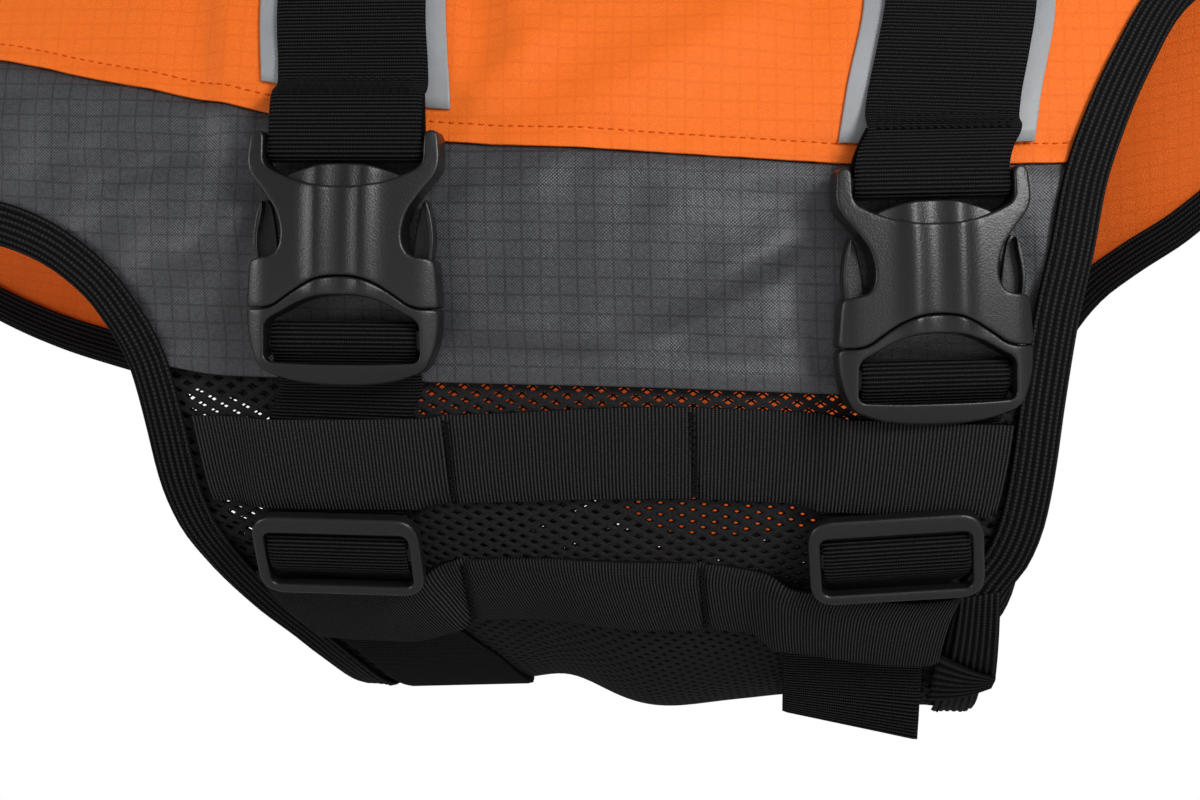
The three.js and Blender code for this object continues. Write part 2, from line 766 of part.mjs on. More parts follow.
function socketSolid() {
  let solid = plate(mirrored(SOCKET_HALF), SOCKET.back, SOCKET.front, SOCKET.rim);
  solid = solid.add(crossBar(TOP_BAR.halfLength, TOP_BAR.v, TOP_BAR.w, TOP_BAR.radius));
  for (const side of [-1, 1]) {
    const left = side * RIDGE.u - RIDGE.halfWidth;
    const right = side * RIDGE.u + RIDGE.halfWidth;
    const ridge = [
      { u: left, v: RIDGE.v0 },
      { u: right, v: RIDGE.v0 },
      { u: right, v: RIDGE.v1 },
      { u: left, v: RIDGE.v1 },
    ];
    solid = solid.add(plate(ridge, SOCKET.front - RIDGE.sunk, SOCKET.front + RIDGE.proud, RIDGE.rim));
  }
  for (const side of [-1, 1]) {
    const [u0, u1] = [side * PRONG_CHANNEL.u0, side * PRONG_CHANNEL.u1].sort((a, b) => a - b);
    const low = PRONG_BODY.back - PRONG_BODY.clearance;
    const high = PRONG_BODY.front + PRONG_BODY.clearance;
    solid = solid.subtract(block(u0, u1, PRONG_CHANNEL.v0, PRONG_CHANNEL.v1, low, high));
  }
  return solid;
}

function insertSolid() {
  const bar = LADDER_BAR;
  const cut = FOOT_UNDERCUT;
  const behind = INSERT.back - CUT_PAST;
  let solid = plate(mirrored(INSERT_HALF), INSERT.back, INSERT.front, INSERT.rim);
  solid = solid.subtract(plate(mirrored(SLOT_HALF), behind, INSERT.front + CUT_PAST, 0));
  solid = solid.subtract(block(-cut.halfWidth, cut.halfWidth, cut.v0, cut.v1, behind, cut.top));
  solid = solid.add(block(-bar.halfWidth, bar.halfWidth, bar.v0, bar.v1, bar.w0, bar.w1));
  for (const side of [-1, 1]) {
    const outline = PRONG.map(({ u, v }) => ({ u: side * u, v }));
    if (side < 0) outline.reverse();
    solid = solid.add(plate(outline, PRONG_BODY.back, PRONG_BODY.front, PRONG_BODY.rim));
  }
  return solid;
}

function flatPoint(frame, u, v, w) {
  return frame.origin.clone()
    .addScaledVector(frame.across, u)
    .addScaledVector(frame.down, v)
    .addScaledVector(frame.outward, w);
}

function addPlaced(name, solid, frame, bow, material) {
  const { vertProperties, triVerts, numProp } = solid.getMesh();
  const points = [];
  for (let i = 0; i < vertProperties.length; i += numProp) {
    const [u, v, w] = vertProperties.slice(i, i + 3);
    points.push(bow ? bucklePoint(frame, u, v, w) : flatPoint(frame, u, v, w));
  }
  const triangles = [];
  for (let i = 0; i < triVerts.length; i += 3) {
    triangles.push([triVerts[i], triVerts[i + 1], triVerts[i + 2]]);
  }
  addMesh(name, points, triangles, material);
}

const buckleFrames = { rear: buckleFrame(BUCKLES.rear), front: buckleFrame(BUCKLES.front) };
for (const strap of ['rear', 'front']) {
  addPlaced(`buckle_socket_${strap}`, socketSolid(), buckleFrames[strap], true, blackPlastic);
  addPlaced(`buckle_insert_${strap}`, insertSolid(), buckleFrames[strap], true, blackPlastic);
}

// Sliders: a rounded frame with a middle bar, lying over the belly strap
const SLIDERS = {
  rear: { x: -72.7, angle: 138.8, lift: 4.2, lean: -1, turn: 0 },
  front: { x: 74.8, angle: 136.2, lift: 4.6, lean: 1, turn: 0 },
};
const SLIDER = { halfWidth: 22.8, halfHeight: 12.8, corner: 3.4, thickness: 3, rim: 0.7 };
const SLIDER_HOLE = { sideRail: 2.8, crossRail: 3.4, corner: 1 };
const SLIDER_BAR = { halfHeight: 2.4, bottom: 0.2, top: 1.3, endInset: 2 };

function roundedRectangle(halfWidth, halfHeight, corner) {
  const steps = 4;
  const centres = [[1, 1], [-1, 1], [-1, -1], [1, -1]];
  return centres.flatMap(([sideU, sideV], quarter) =>
    Array.from({ length: steps + 1 }, (_, i) => {
      const turn = (quarter + i / steps) * 90 * DEGREE;
      return {
        u: sideU * (halfWidth - corner) + corner * Math.cos(turn),
        v: sideV * (halfHeight - corner) + corner * Math.sin(turn),
      };
    }));
}

function sliderSolid() {
  const { halfWidth, halfHeight, corner, thickness, rim } = SLIDER;
  const { sideRail, crossRail } = SLIDER_HOLE;
  const bar = SLIDER_BAR;
  const barEnd = halfWidth - bar.endInset;
  const hole = roundedRectangle(halfWidth - sideRail, halfHeight - crossRail, SLIDER_HOLE.corner);
  let solid = plate(roundedRectangle(halfWidth, halfHeight, corner), 0, thickness, rim);
  solid = solid.subtract(plate(hole, -CUT_PAST, thickness + CUT_PAST, 0));
  return solid.add(block(-barEnd, barEnd, -bar.halfHeight, bar.halfHeight, bar.bottom, bar.top));
}

const sliderFrames = { rear: buckleFrame(SLIDERS.rear), front: buckleFrame(SLIDERS.front) };
for (const strap of ['rear', 'front']) {
  addPlaced(`slider_${strap}`, sliderSolid(), sliderFrames[strap], false, blackPlastic);
}

// Webbing as a flat strap through stations: the middle of its thickness, its direction across, and how
// far a slanted row runs ahead at its front edge and back at its rear edge
function addStrap(name, stations, width, material) {
  const rings = stations.map((station, i) => {
    const before = stations[Math.max(i - 1, 0)].point;
    const after = stations[Math.min(i + 1, stations.length - 1)].point;
    const tangent = after.clone().sub(before).normalize();
    const out = new THREE.Vector3().crossVectors(tangent, station.across).normalize();
    const slant = station.slant ?? 0;
    const corner = (side, face) => station.point.clone()
      .addScaledVector(station.across, (side * width) / 2)
      .addScaledVector(tangent, side * slant)
      .addScaledVector(out, (face * WEBBING_THICKNESS) / 2);
    return [corner(-1, -1), corner(1, -1), corner(1, 1), corner(-1, 1)];
  });
  addSweep(name, rings, false, blackWebbing);
}

// A flat strap rests on the highest fold under its width
const WIDTH_SHARES = [-0.5, -0.35, -0.2, 0, 0.2, 0.35, 0.5];

function restingLift(x, angle, width) {
  const heights = WIDTH_SHARES.map((share) => relief(x + share * width, angle));
  return Math.max(...heights) - relief(x, angle);
}

function surfaceStation(strap, angle, lift) {
  const x = strapX(strap, angle);
  const { along } = surfaceFrame(x, angle);
  const rest = restingLift(x, angle, WEBBING_WIDTH);
  return { point: surfacePoint(x, angle, rest + lift), across: along.normalize() };
}

function hardwareStation(frame, v, w, bow, u = 0) {
  return { point: bow ? bucklePoint(frame, u, v, w) : flatPoint(frame, u, v, w), across: frame.across };
}

// Lifts of the middle of the webbing where it lies on the tape and on the mesh
const MESH_CLEARANCE = 0.6;
const LIFT_ON_TAPE = TAPE_UNDER + TAPE_THICKNESS + WEBBING_GAP + WEBBING_THICKNESS / 2;
const LIFT_ON_MESH = BELLY_OUTER + MESH_CLEARANCE + WEBBING_THICKNESS / 2;

// End of the upper strap, round the socket's bar: distance down the buckle, height, and the share of
// the strap's sideways step from the buckle's middle line
const LOOP_RADIUS = TOP_BAR.radius + WEBBING_GAP + WEBBING_THICKNESS / 2;
const LOOP_ROWS = [
  { v: -42, w: 6.8, drift: 0.8 },
  { v: -38, w: 8.2, drift: 0.35 },
  { v: -33, w: 8.6, drift: 0.05 },
  ...[90, 54, 18, -18, -54, -90].map((turn) => ({
    v: TOP_BAR.v + LOOP_RADIUS * Math.cos(turn * DEGREE),
    w: TOP_BAR.w + LOOP_RADIUS * Math.sin(turn * DEGREE),
    drift: 0,
  })),
  { v: -33, w: 2.9, drift: 0.05 },
  { v: -38, w: 3.8, drift: 0.35 },
  { v: -43, w: 4.6, drift: 0.8 },
];

const UPPER_STRAP_STEP = 5.5;
const FAR_END_ANGLE = -129;
// Where the strap leaves the tape above the buckle, and how it starts to rise toward the loop
const RISE_START = { aboveBuckle: 21.7, stepAngle: 2.2, height: 1.2 };

function upperStrapStations(strap) {
  const lastAngle = BUCKLES[strap].angle - RISE_START.aboveBuckle;
  const steps = Math.round((lastAngle - FAR_END_ANGLE) / UPPER_STRAP_STEP);
  const stations = [];
  for (let i = 0; i <= steps; i += 1) {
    const angle = lerp(FAR_END_ANGLE, lastAngle, i / steps);
    stations.push(surfaceStation(strap, angle, LIFT_ON_TAPE));
  }
  const last = surfaceStation(strap, lastAngle + RISE_START.stepAngle, LIFT_ON_TAPE + RISE_START.height);
  stations.push(last);
  const frame = buckleFrames[strap];
  const aside = last.point.clone().sub(frame.origin).dot(frame.across);
  for (const row of LOOP_ROWS) {
    stations.push(hardwareStation(frame, row.v, row.w, true, aside * row.drift));
  }
  return stations;
}

for (const strap of ['rear', 'front']) {
  addStrap(`upper_strap_${strap}`, upperStrapStations(strap), WEBBING_WIDTH);
}

// Start of the belly strap: it comes from behind the insert's foot and turns over the ladder bar
const LADDER_ROWS = [
  { v: 28.2, w: 0.4 },
  { v: 24.2, w: 1.8 },
  { v: 18.6, w: 2.2 },
  { v: 16.9, w: 3.3 },
  { v: 16.9, w: 5.6 },
  { v: 18.4, w: 6.8 },
  { v: 23.4, w: 6.8 },
  { v: 25.2, w: 5.6 },
  { v: 27.4, w: 3.7 },
  { v: 30.4, w: 1.4 },
  { v: 33.2, w: -0.8 },
];
// Run through the slider: from behind the upper rail, over the bar, behind the lower rail
const SLIDER_ROWS = [
  { v: -11.4, w: -3.9, drift: 0 },
  { v: -8.8, w: -2.5, drift: 0 },
  { v: -3.6, w: 2.4, drift: 0 },
  { v: 0, w: 2.8, drift: 0 },
  { v: 3.6, w: 2.4, drift: 0 },
  { v: 8.8, w: -2.5, drift: 0.12 },
  { v: 11.4, w: -3.9, drift: 0.6 },
];
const BELLY_STRAP_WIDTH = WEBBING_WIDTH - 2;
const BELLY_STRAP_STEP = 6;
const BELLY_STRAP_END = 239;
// Angles past the buckle's middle, and either side of the slider's, where the strap lies on the mesh
const BELOW_BUCKLE = 17.2;
const BESIDE_SLIDER = 7.86;

function bellyStrapStations(strap) {
  const slider = SLIDERS[strap];
  const stations = LADDER_ROWS.map((row) => hardwareStation(buckleFrames[strap], row.v, row.w, true));
  const underBand = [BUCKLES[strap].angle + BELOW_BUCKLE, slider.angle - BESIDE_SLIDER];
  for (const angle of underBand) stations.push(surfaceStation(strap, angle, LIFT_ON_MESH));
  const frame = sliderFrames[strap];
  const start = slider.angle + BESIDE_SLIDER;
  const aside = surfaceStation(strap, start, LIFT_ON_MESH).point.sub(frame.origin).dot(frame.across);
  for (const row of SLIDER_ROWS) {
    stations.push(hardwareStation(frame, row.v, row.w, false, aside * row.drift));
  }
  const steps = Math.round((BELLY_STRAP_END - start) / BELLY_STRAP_STEP);
  for (let i = 0; i <= steps; i += 1) {
    stations.push(surfaceStation(strap, lerp(start, BELLY_STRAP_END, i / steps), LIFT_ON_MESH));
  }
  return stations;
}

for (const strap of ['rear', 'front']) {
  addStrap(`belly_strap_${strap}`, bellyStrapStations(strap), BELLY_STRAP_WIDTH);
}

// Cross bands of webbing on the mesh, stitched down between the straps' channels
const CROSS_BANDS = {
  upper: {
    top: [
      { x: -110, angle: 122.6 },
      { x: -40, angle: 121.3 },
      { x: 24, angle: 119.6 },
      { x: 106, angle: 119.8 },
    ],
    width: 11.2,
    rear: { topHeight: 3.4, bottomHeight: 3.9 },
    front: { topHeight: 7.3, bottomHeight: 5 },
  },
  lower: {
    top: [
      { x: -106, angle: 144.2 },
      { x: -60, angle: 144.4 },
      { x: -42, angle: 141.4 },
      { x: 23, angle: 140.2 },
      { x: 50, angle: 142.2 },
      { x: 78, angle: 143.4 },
      { x: 102, angle: 141 },
    ],
    width: 11.4,
    rear: { topHeight: 4, bottomHeight: 4 },
    front: { topHeight: 5.6, bottomHeight: 5.9 },
  },
};
const BAND_COLUMNS = 34;
const BINDING_REACH = 11.4;
const BAND_GAP = 0.6;
const CHANNEL_SLOPE = 8.4;

// Lift of a band's underside: close on the mesh, and raised over each strap's channel
function bandUnderside(band, place) {
  let lift = BELLY_OUTER + BAND_GAP;
  for (const strap of ['rear', 'front']) {
    const { topHeight, bottomHeight } = band[strap];
    const height = lerp(topHeight, bottomHeight, place.share) - BAND_GAP;
    const away = Math.abs(place.x - strapX(strap, place.angle)) - WEBBING_WIDTH / 2 - BAND_GAP;
    lift += height * (1 - smoothstep(away, 0, CHANNEL_SLOPE));
  }
  return lift;
}

function crossBandGrid(band) {
  const topByX = curve(band.top, 'x', 'angle');
  return [0, 0.5, 1].map((share) =>
    Array.from({ length: BAND_COLUMNS + 1 }, (_, column) => {
      const rear = hemX(band.top[0].angle + share * band.width) + BINDING_REACH;
      const front = frontX(band.top[band.top.length - 1].angle + share * band.width) - BINDING_REACH;
      const x = lerp(rear, front, column / BAND_COLUMNS);
      return { x, angle: topByX(x) + share * band.width, share };
    }));
}

for (const [level, band] of Object.entries(CROSS_BANDS)) {
  const places = crossBandGrid(band);
  const face = (extra) => places.map((row) =>
    row.map((place) => surfacePoint(place.x, place.angle, bandUnderside(band, place) + extra)));
  addWall(`cross_band_${level}`, face(BAND_THICKNESS), face(0), blackWebbing);
}

// Free end of the front belly strap, hanging out below the lower cross band and cut on a slant
const TAIL_ROWS = [
  { angle: 146, lift: 1.8, slant: 0 },
  { angle: 150, lift: 1.8, slant: 0 },
  { angle: 154, lift: 1.9, slant: 0 },
  { angle: 158, lift: 2.6, slant: 0 },
  { angle: 162, lift: 5, slant: 1 },
  { angle: 165, lift: 8, slant: 3 },
  { angle: 167, lift: 10, slant: 5 },
];
const tailStations = TAIL_ROWS.map((row) => ({
  ...surfaceStation('front', row.angle, row.lift),
  slant: row.slant,
}));
addStrap('strap_tail_front', tailStations, BELLY_STRAP_WIDTH);

// Neck strap: joins the front corners of the back panel round the chest
const NECK_STRAP = [
  { angle: 44, x: 196 },
  { angle: 60, x: 206 },
  { angle: 80, x: 220 },
  { angle: 110, x: 234 },
  { angle: 180, x: 244 },
  { angle: 250, x: 234 },
  { angle: 280, x: 222 },
  { angle: 300, x: 208 },
  { angle: 316, x: 196 },
];
const NECK_STRAP_WIDTH = WEBBING_WIDTH - 4;
const NECK_STRAP_LIFT = 2.2;
const NECK_STRAP_STEPS = 44;
const neckStrapX = curve(NECK_STRAP, 'angle', 'x');
const neckStations = Array.from({ length: NECK_STRAP_STEPS + 1 }, (_, i) => {
  const angle = lerp(NECK_STRAP[0].angle, NECK_STRAP[NECK_STRAP.length - 1].angle, i / NECK_STRAP_STEPS);
  const x = neckStrapX(angle);
  return {
    point: surfacePoint(x, angle, NECK_STRAP_LIFT),
    across: surfaceFrame(x, angle).along.normalize(),
  };
});
addStrap('neck_strap', neckStations, NECK_STRAP_WIDTH);

export default jacket;
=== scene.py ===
# %% [markdown]
# # Dog life jacket
# A saddle of ripstop cloth over thin foam, closed under the belly by a panel of air mesh, with
# webbing girth straps, side-release buckles and folded elastic along its edges. The construction
# arrives as a fixed frame. Each cell below makes one piece of cloth or hardware, and lays it where
# the frame has it.

# %% Load the frame
import math

import bmesh
import bpy
import numpy as np
from mathutils import Matrix, Vector, kdtree


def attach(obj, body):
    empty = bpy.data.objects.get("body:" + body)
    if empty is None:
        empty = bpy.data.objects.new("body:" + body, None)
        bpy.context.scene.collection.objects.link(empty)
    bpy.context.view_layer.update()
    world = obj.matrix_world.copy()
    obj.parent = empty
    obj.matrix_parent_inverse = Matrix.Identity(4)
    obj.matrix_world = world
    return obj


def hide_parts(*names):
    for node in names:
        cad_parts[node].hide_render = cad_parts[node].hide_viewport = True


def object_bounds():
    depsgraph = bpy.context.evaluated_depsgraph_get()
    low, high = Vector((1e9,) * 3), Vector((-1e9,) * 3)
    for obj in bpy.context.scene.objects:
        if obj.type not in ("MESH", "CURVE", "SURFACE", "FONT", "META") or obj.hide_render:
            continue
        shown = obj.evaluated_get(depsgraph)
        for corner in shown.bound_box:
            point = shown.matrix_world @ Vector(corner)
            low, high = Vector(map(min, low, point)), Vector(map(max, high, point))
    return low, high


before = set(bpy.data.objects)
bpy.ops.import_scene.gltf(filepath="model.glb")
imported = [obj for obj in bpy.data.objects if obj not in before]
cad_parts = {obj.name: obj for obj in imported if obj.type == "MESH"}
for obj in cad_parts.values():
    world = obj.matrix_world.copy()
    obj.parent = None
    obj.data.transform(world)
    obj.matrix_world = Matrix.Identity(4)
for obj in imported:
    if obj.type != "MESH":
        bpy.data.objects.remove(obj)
cad_low, cad_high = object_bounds()
MM = 0.001
print("frame box in mm:", [round(v / MM) for v in (*cad_low, *cad_high)])

# %% [markdown]
# ## Camera, light and floor
# The garment was shot from just under its middle, looking up a little, on white. A long lens keeps
# the straps parallel. The white surround shows at full brightness but lights the cloth less. Soft
# lamps from the right and the left shade the cloth and the buckles' sides, and a third beside the
# camera lights their ridges.

# %% Camera, light and floor
scene = bpy.context.scene
camera = bpy.data.objects.new("camera", bpy.data.cameras.new("camera"))
camera.data.sensor_width = 36
camera.data.lens = 69.66
camera.data.clip_start = 0.01
camera.location = (0.070852, -0.687912, -0.305958)
camera.rotation_euler = (math.radians(100.6), 0, math.radians(6.9))
scene.collection.objects.link(camera)
scene.camera = camera

world = bpy.data.worlds.new("white_studio")
scene.world = world
world.use_nodes = True
SURROUND_LIGHT = 0.27
surround = world.node_tree.nodes["Background"]
seen = world.node_tree.nodes.new("ShaderNodeLightPath").outputs["Is Camera Ray"]
brightness = world.node_tree.nodes.new("ShaderNodeMapRange")
brightness.inputs["To Min"].default_value = SURROUND_LIGHT
world.node_tree.links.new(seen, brightness.inputs["Value"])
world.node_tree.links.new(brightness.outputs[0], surround.inputs["Strength"])
surround.inputs["Color"].default_value = (1, 1, 1, 1)
scene.view_settings.view_transform = "Standard"

AIM = Vector((0.0, -0.1, -0.15))
LAMPS = [
    # name, place, size, watts
    ("key_lamp", (0.72, -0.92, 0.1), 0.34, 9.4),
    ("fill_lamp", (-0.95, -0.55, -0.05), 0.34, 3.1),
    ("front_lamp", (0.15, -1.0, 0.1), 0.42, 0.5),
]
for lamp_name, place, size, watts in LAMPS:
    light = bpy.data.lights.new(lamp_name, "AREA")
    light.size = size
    light.energy = watts
    lamp = bpy.data.objects.new(lamp_name, light)
    lamp.location = place
    lamp.rotation_euler = (AIM - Vector(place)).to_track_quat("-Z", "Y").to_euler()
    scene.collection.objects.link(lamp)
    print(lamp_name, watts, "W")

FLOOR_DROP = 0.08
FLOOR_HALF_SIZE = 3.0
floor_bm = bmesh.new()
bmesh.ops.create_grid(floor_bm, x_segments=1, y_segments=1, size=FLOOR_HALF_SIZE)
bmesh.ops.translate(floor_bm, verts=floor_bm.verts, vec=(0, 0, cad_low.z - FLOOR_DROP))
floor = bpy.data.objects.new("floor", bpy.data.meshes.new("floor"))
floor_bm.to_mesh(floor.data)
floor_bm.free()
scene.collection.objects.link(floor)

# %% [markdown]
# ## Materials
# One small function adds a node with its settings and links. Patterns read the "cut" UV map, which
# holds each point's place on the flat cut piece in millimetres, so a weave follows the cloth round
# the body as the real threads do.

# %% One helper that adds a node
def linear(hex_colour):
    """An sRGB hex colour as the linear values that shaders work in."""
    channels = [int(hex_colour[i : i + 2], 16) / 255 for i in (1, 3, 5)]
    return (*[c / 12.92 if c <= 0.04045 else ((c + 0.055) / 1.055) ** 2.4 for c in channels], 1.0)


def add_node(tree, kind, settings=None, inputs=None):
    """Adds one node, sets its settings, then gives each named or numbered input a value or a link."""
    node = tree.nodes.new(kind)
    for key, value in (settings or {}).items():
        setattr(node, key, value)
    for key, value in (inputs or {}).items():
        if isinstance(value, bpy.types.NodeSocket):
            tree.links.new(value, node.inputs[key])
        else:
            node.inputs[key].default_value = value
    return node


def new_material(name, roughness, specular=0.5):
    """An empty material, with its tree and its main shader."""
    material = bpy.data.materials.new(name)
    material.use_nodes = True
    tree = material.node_tree
    shader = tree.nodes["Principled BSDF"]
    shader.inputs["Roughness"].default_value = roughness
    shader.inputs["Specular IOR Level"].default_value = specular
    return material, tree, shader


def calc(tree, operation, *values):
    """One Math node's result."""
    return add_node(tree, "ShaderNodeMath", {"operation": operation}, dict(enumerate(values))).outputs[0]


def mix_colour(tree, factor, first, second):
    """One colour Mix node's result."""
    mix = add_node(tree, "ShaderNodeMix", {"data_type": "RGBA"}, {0: factor, 6: first, 7: second})
    return mix.outputs[2]


def cut_axes(tree):
    """The two cut coordinates, in millimetres."""
    uv = add_node(tree, "ShaderNodeUVMap", {"uv_map": "cut"})
    parts = add_node(tree, "ShaderNodeSeparateXYZ", None, {0: uv.outputs[0]})
    return uv.outputs[0], parts.outputs[0], parts.outputs[1]


def bump(tree, shader, height, strength, distance_mm):
    node = add_node(
        tree,
        "ShaderNodeBump",
        None,
        {"Strength": strength, "Distance": distance_mm * MM, "Height": height},
    )
    tree.links.new(node.outputs[0], shader.inputs["Normal"])


# %% [markdown]
# ## Ripstop cloth
# Ripstop is a plain weave with a thicker thread every few millimetres, which shows as a fine grid.
# The grid here is 4.7 mm, measured from the photo's strap widths: faint on the orange, darker than the
# cloth on the grey. The weave between is 0.3 mm in the real cloth, too fine to show, so it is drawn at
# 0.9 mm. Large soft areas of painted sheen and shade lie over it, lighter on the orange and darker on
# the grey.

# %% Ripstop cloth
RIPSTOP_GRID = 4.7
RIPSTOP_LINE = 0.55
SHOWN_WEAVE = 0.9


def ripstop(name, base_hex, thread_hex, painted_light_hex, grid, roughness, specular):
    """Plain weave of two shades under large soft areas of painted sheen and shade; grid is its lines' colour
    and contrast.
    """
    material, tree, shader = new_material(name, roughness, specular)
    uv, across, down = cut_axes(tree)
    lines = []
    for axis in (across, down):
        place = calc(tree, "PINGPONG", axis, RIPSTOP_GRID / 2)
        lines.append(calc(tree, "LESS_THAN", place, RIPSTOP_LINE / 2))
    line = calc(tree, "MAXIMUM", *lines)
    turns = 2 * math.pi / SHOWN_WEAVE
    waves = [calc(tree, "SINE", calc(tree, "MULTIPLY", axis, turns)) for axis in (across, down)]
    weave = calc(tree, "MULTIPLY", *waves)
    slub = add_node(
        tree, "ShaderNodeTexNoise", None, {"Vector": uv, "Scale": 0.9, "Detail": 2.0}
    ).outputs[0]
    # Painted light: large soft areas of sheen and shade, the light of folds put into the colour.
    painted_light_patch = add_node(
        tree, "ShaderNodeTexNoise", None, {"Vector": uv, "Scale": 0.03, "Detail": 2.0}
    ).outputs[0]
    colour = mix_colour(tree, painted_light_patch, linear(base_hex), linear(painted_light_hex))
    shade = calc(tree, "MULTIPLY", calc(tree, "ADD", calc(tree, "MULTIPLY", weave, 0.5), slub), 0.55)
    colour = mix_colour(tree, shade, colour, linear(thread_hex))
    grid_hex, contrast = grid
    colour = mix_colour(tree, calc(tree, "MULTIPLY", line, contrast), colour, linear(grid_hex))
    tree.links.new(colour, shader.inputs["Base Color"])
    height = calc(tree, "ADD", calc(tree, "MULTIPLY", weave, 0.3), calc(tree, "MULTIPLY", line, 0.7))
    height = calc(tree, "ADD", height, slub)
    bump(tree, shader, height, 0.8, 0.16)
    return material


ORANGE_GRID = ("#D4560C", 0.2)
GREY_GRID = ("#0E0E10", 0.42)
# Each cloth's fourth colour is its painted light: sheen on the orange cloths, shade on the grey.
orange_ripstop = ripstop("orange_ripstop", "#EC6C1A", "#D4560C", "#F17826", ORANGE_GRID, 0.62, 0.2)
grey_ripstop = ripstop("charcoal_ripstop", "#2D2E30", "#5E5F64", "#1A1B1D", GREY_GRID, 0.4, 0.42)
orange_lining = ripstop("orange_taffeta_lining", "#E8681C", "#D05812", "#EC7428", ORANGE_GRID, 0.7, 0.15)
print("cloths:", orange_ripstop.name, grey_ripstop.name, orange_lining.name)

# %% [markdown]
# ## Webbing, elastic, tape, mesh, thread and plastic
# Polyester webbing, knitted elastic and air mesh are dull black yarns that differ in how they catch
# light; on the ribbed ones the light and shade of each rib is also painted into the colour. The tape is
# grey cloth with a skin of glass beads. The buckles are acetal with a fine spark texture from the mould,
# which turns highlights soft and grainy.

# %% Webbing, elastic, tape, mesh, thread and plastic
def yarn(name, dark_hex, light_hex, stretch, rib_axis=None, rib_pitch=1.0, cord_pitch=0.6):
    """Spun yarn: short lighter flecks drawn out along the threads. Ribs are cords split into short visible
    stitches, with their light and shade painted in: lit crests lighter, valleys between ribs darker."""
    material, tree, shader = new_material(name, 0.75, 0.06)
    uv, across, along = cut_axes(tree)
    drawn = add_node(tree, "ShaderNodeVectorMath", {"operation": "MULTIPLY"}, {0: uv, 1: stretch})
    fleck = add_node(
        tree, "ShaderNodeTexNoise", None, {"Vector": drawn.outputs[0], "Scale": 1.4, "Detail": 3.0}
    ).outputs[0]
    shade = fleck
    if rib_axis is not None:
        place, crosswise = (across, along) if rib_axis == 0 else (along, across)
        rib = calc(tree, "COSINE", calc(tree, "MULTIPLY", place, 2 * math.pi / rib_pitch))
        cord = calc(tree, "SINE", calc(tree, "MULTIPLY", crosswise, 2 * math.pi / cord_pitch))
        # Painted light: rib crests lighter and the valleys between them darker, the crests' painted highlight
        # broken into stitches along each cord.
        crest = calc(tree, "POWER", calc(tree, "SUBTRACT", 0.5, calc(tree, "MULTIPLY", rib, 0.5)), 2.0)
        stitch = calc(tree, "ADD", 0.65, calc(tree, "MULTIPLY", cord, 0.35))
        crest = calc(tree, "MULTIPLY", crest, stitch)
        shade = calc(tree, "MULTIPLY", crest, calc(tree, "MULTIPLY", fleck, 1.9))
    tree.links.new(mix_colour(tree, shade, linear(dark_hex), linear(light_hex)), shader.inputs["Base Color"])
    bump(tree, shader, shade, 0.6, 0.2)
    return material


RIB_PITCH = 1.05
BAND_RIB = 0.93
BINDING_RIB = 1.8
black_webbing = yarn("black_polyester_webbing", "#010101", "#303032", (1.6, 0.9, 1), 1, RIB_PITCH, 0.62)
black_band = yarn("black_grosgrain_band", "#0A0A0A", "#444447", (1.2, 1.2, 1), 0, BAND_RIB, 0.5)
black_elastic = yarn("black_knitted_elastic", "#060606", "#303032", (1.2, 0.9, 1), 1, BINDING_RIB, 1.1)
black_air_mesh = yarn("black_air_mesh_yarn", "#0B0B0C", "#2C2C2E", (1, 1, 1))
orange_thread = yarn("orange_sewing_thread", "#B84408", "#D05410", (1, 1, 1))
black_thread = yarn("black_sewing_thread", "#070708", "#171718", (1, 1, 1))


def glass_bead_tape():
    """Grey tape: beads of glass break its sheen into fine sparkle."""
    material, tree, shader = new_material("glass_bead_tape", 0.45, 0.4)
    uv, _, _ = cut_axes(tree)
    bead = add_node(tree, "ShaderNodeTexVoronoi", None, {"Vector": uv, "Scale": 1.6}).outputs[0]
    wear = add_node(tree, "ShaderNodeTexNoise", None, {"Vector": uv, "Scale": 0.08, "Detail": 3.0})
    colour = mix_colour(tree, wear.outputs[0], linear("#808285"), linear("#9A9C9F"))
    tree.links.new(colour, shader.inputs["Base Color"])
    bump(tree, shader, bead, 0.25, 0.1)
    return material


reflective_tape = glass_bead_tape()


def moulded_acetal():
    """Black acetal: satin, with grain drawn at 0.5 mm, coarser than the mould's own, so that it shows."""
    material, tree, shader = new_material("moulded_black_acetal", 0.37, 0.5)
    shader.inputs["IOR"].default_value = 1.48
    place = add_node(tree, "ShaderNodeTexCoord").outputs["Object"]
    grain = add_node(
        tree, "ShaderNodeTexNoise", None, {"Vector": place, "Scale": 2000.0, "Detail": 2.0}
    ).outputs[0]
    tree.links.new(
        mix_colour(tree, grain, linear("#09090A"), linear("#151516")), shader.inputs["Base Color"]
    )
    bump(tree, shader, grain, 0.55, 0.14)
    return material


black_acetal = moulded_acetal()

floor_material, floor_tree, floor_shader = new_material("pale_floor", 0.8)
floor_place = add_node(floor_tree, "ShaderNodeTexCoord").outputs["Object"]
floor_cloud = add_node(floor_tree, "ShaderNodeTexNoise", None, {"Vector": floor_place, "Scale": 2.0})
floor_colour = mix_colour(floor_tree, floor_cloud.outputs[0], linear("#EDEDED"), linear("#F4F4F4"))
floor_tree.links.new(floor_colour, floor_shader.inputs["Base Color"])
floor.data.materials.append(floor_material)
print("materials:", [material.name for material in bpy.data.materials])

# %% [markdown]
# ## The body's surface
# Every cut piece wraps one surface. A place on it is a distance x along the back and an angle from
# the spine, positive down the buckled side. These are the frame's own sizes in millimetres, and a
# smooth curve through each short table fills in between its rows.

# %% The body's surface
BACK_THICKNESS = 7.2
EDGE_DROP = 1.5
EDGE_FLAT = 6.0
EDGE_RISE = 26.0
BINDING_OUTSTAND = 3.0
BELLY_SEAM_ANGLE = 116.3
STRAP_VALLEY = 1.2
STRAP_VALLEY_WIDTH = 26.0
BODY_COLUMNS = 28
HEM_CORNER_COLUMN = 12
BAND_TIP_ANGLE = 86.0


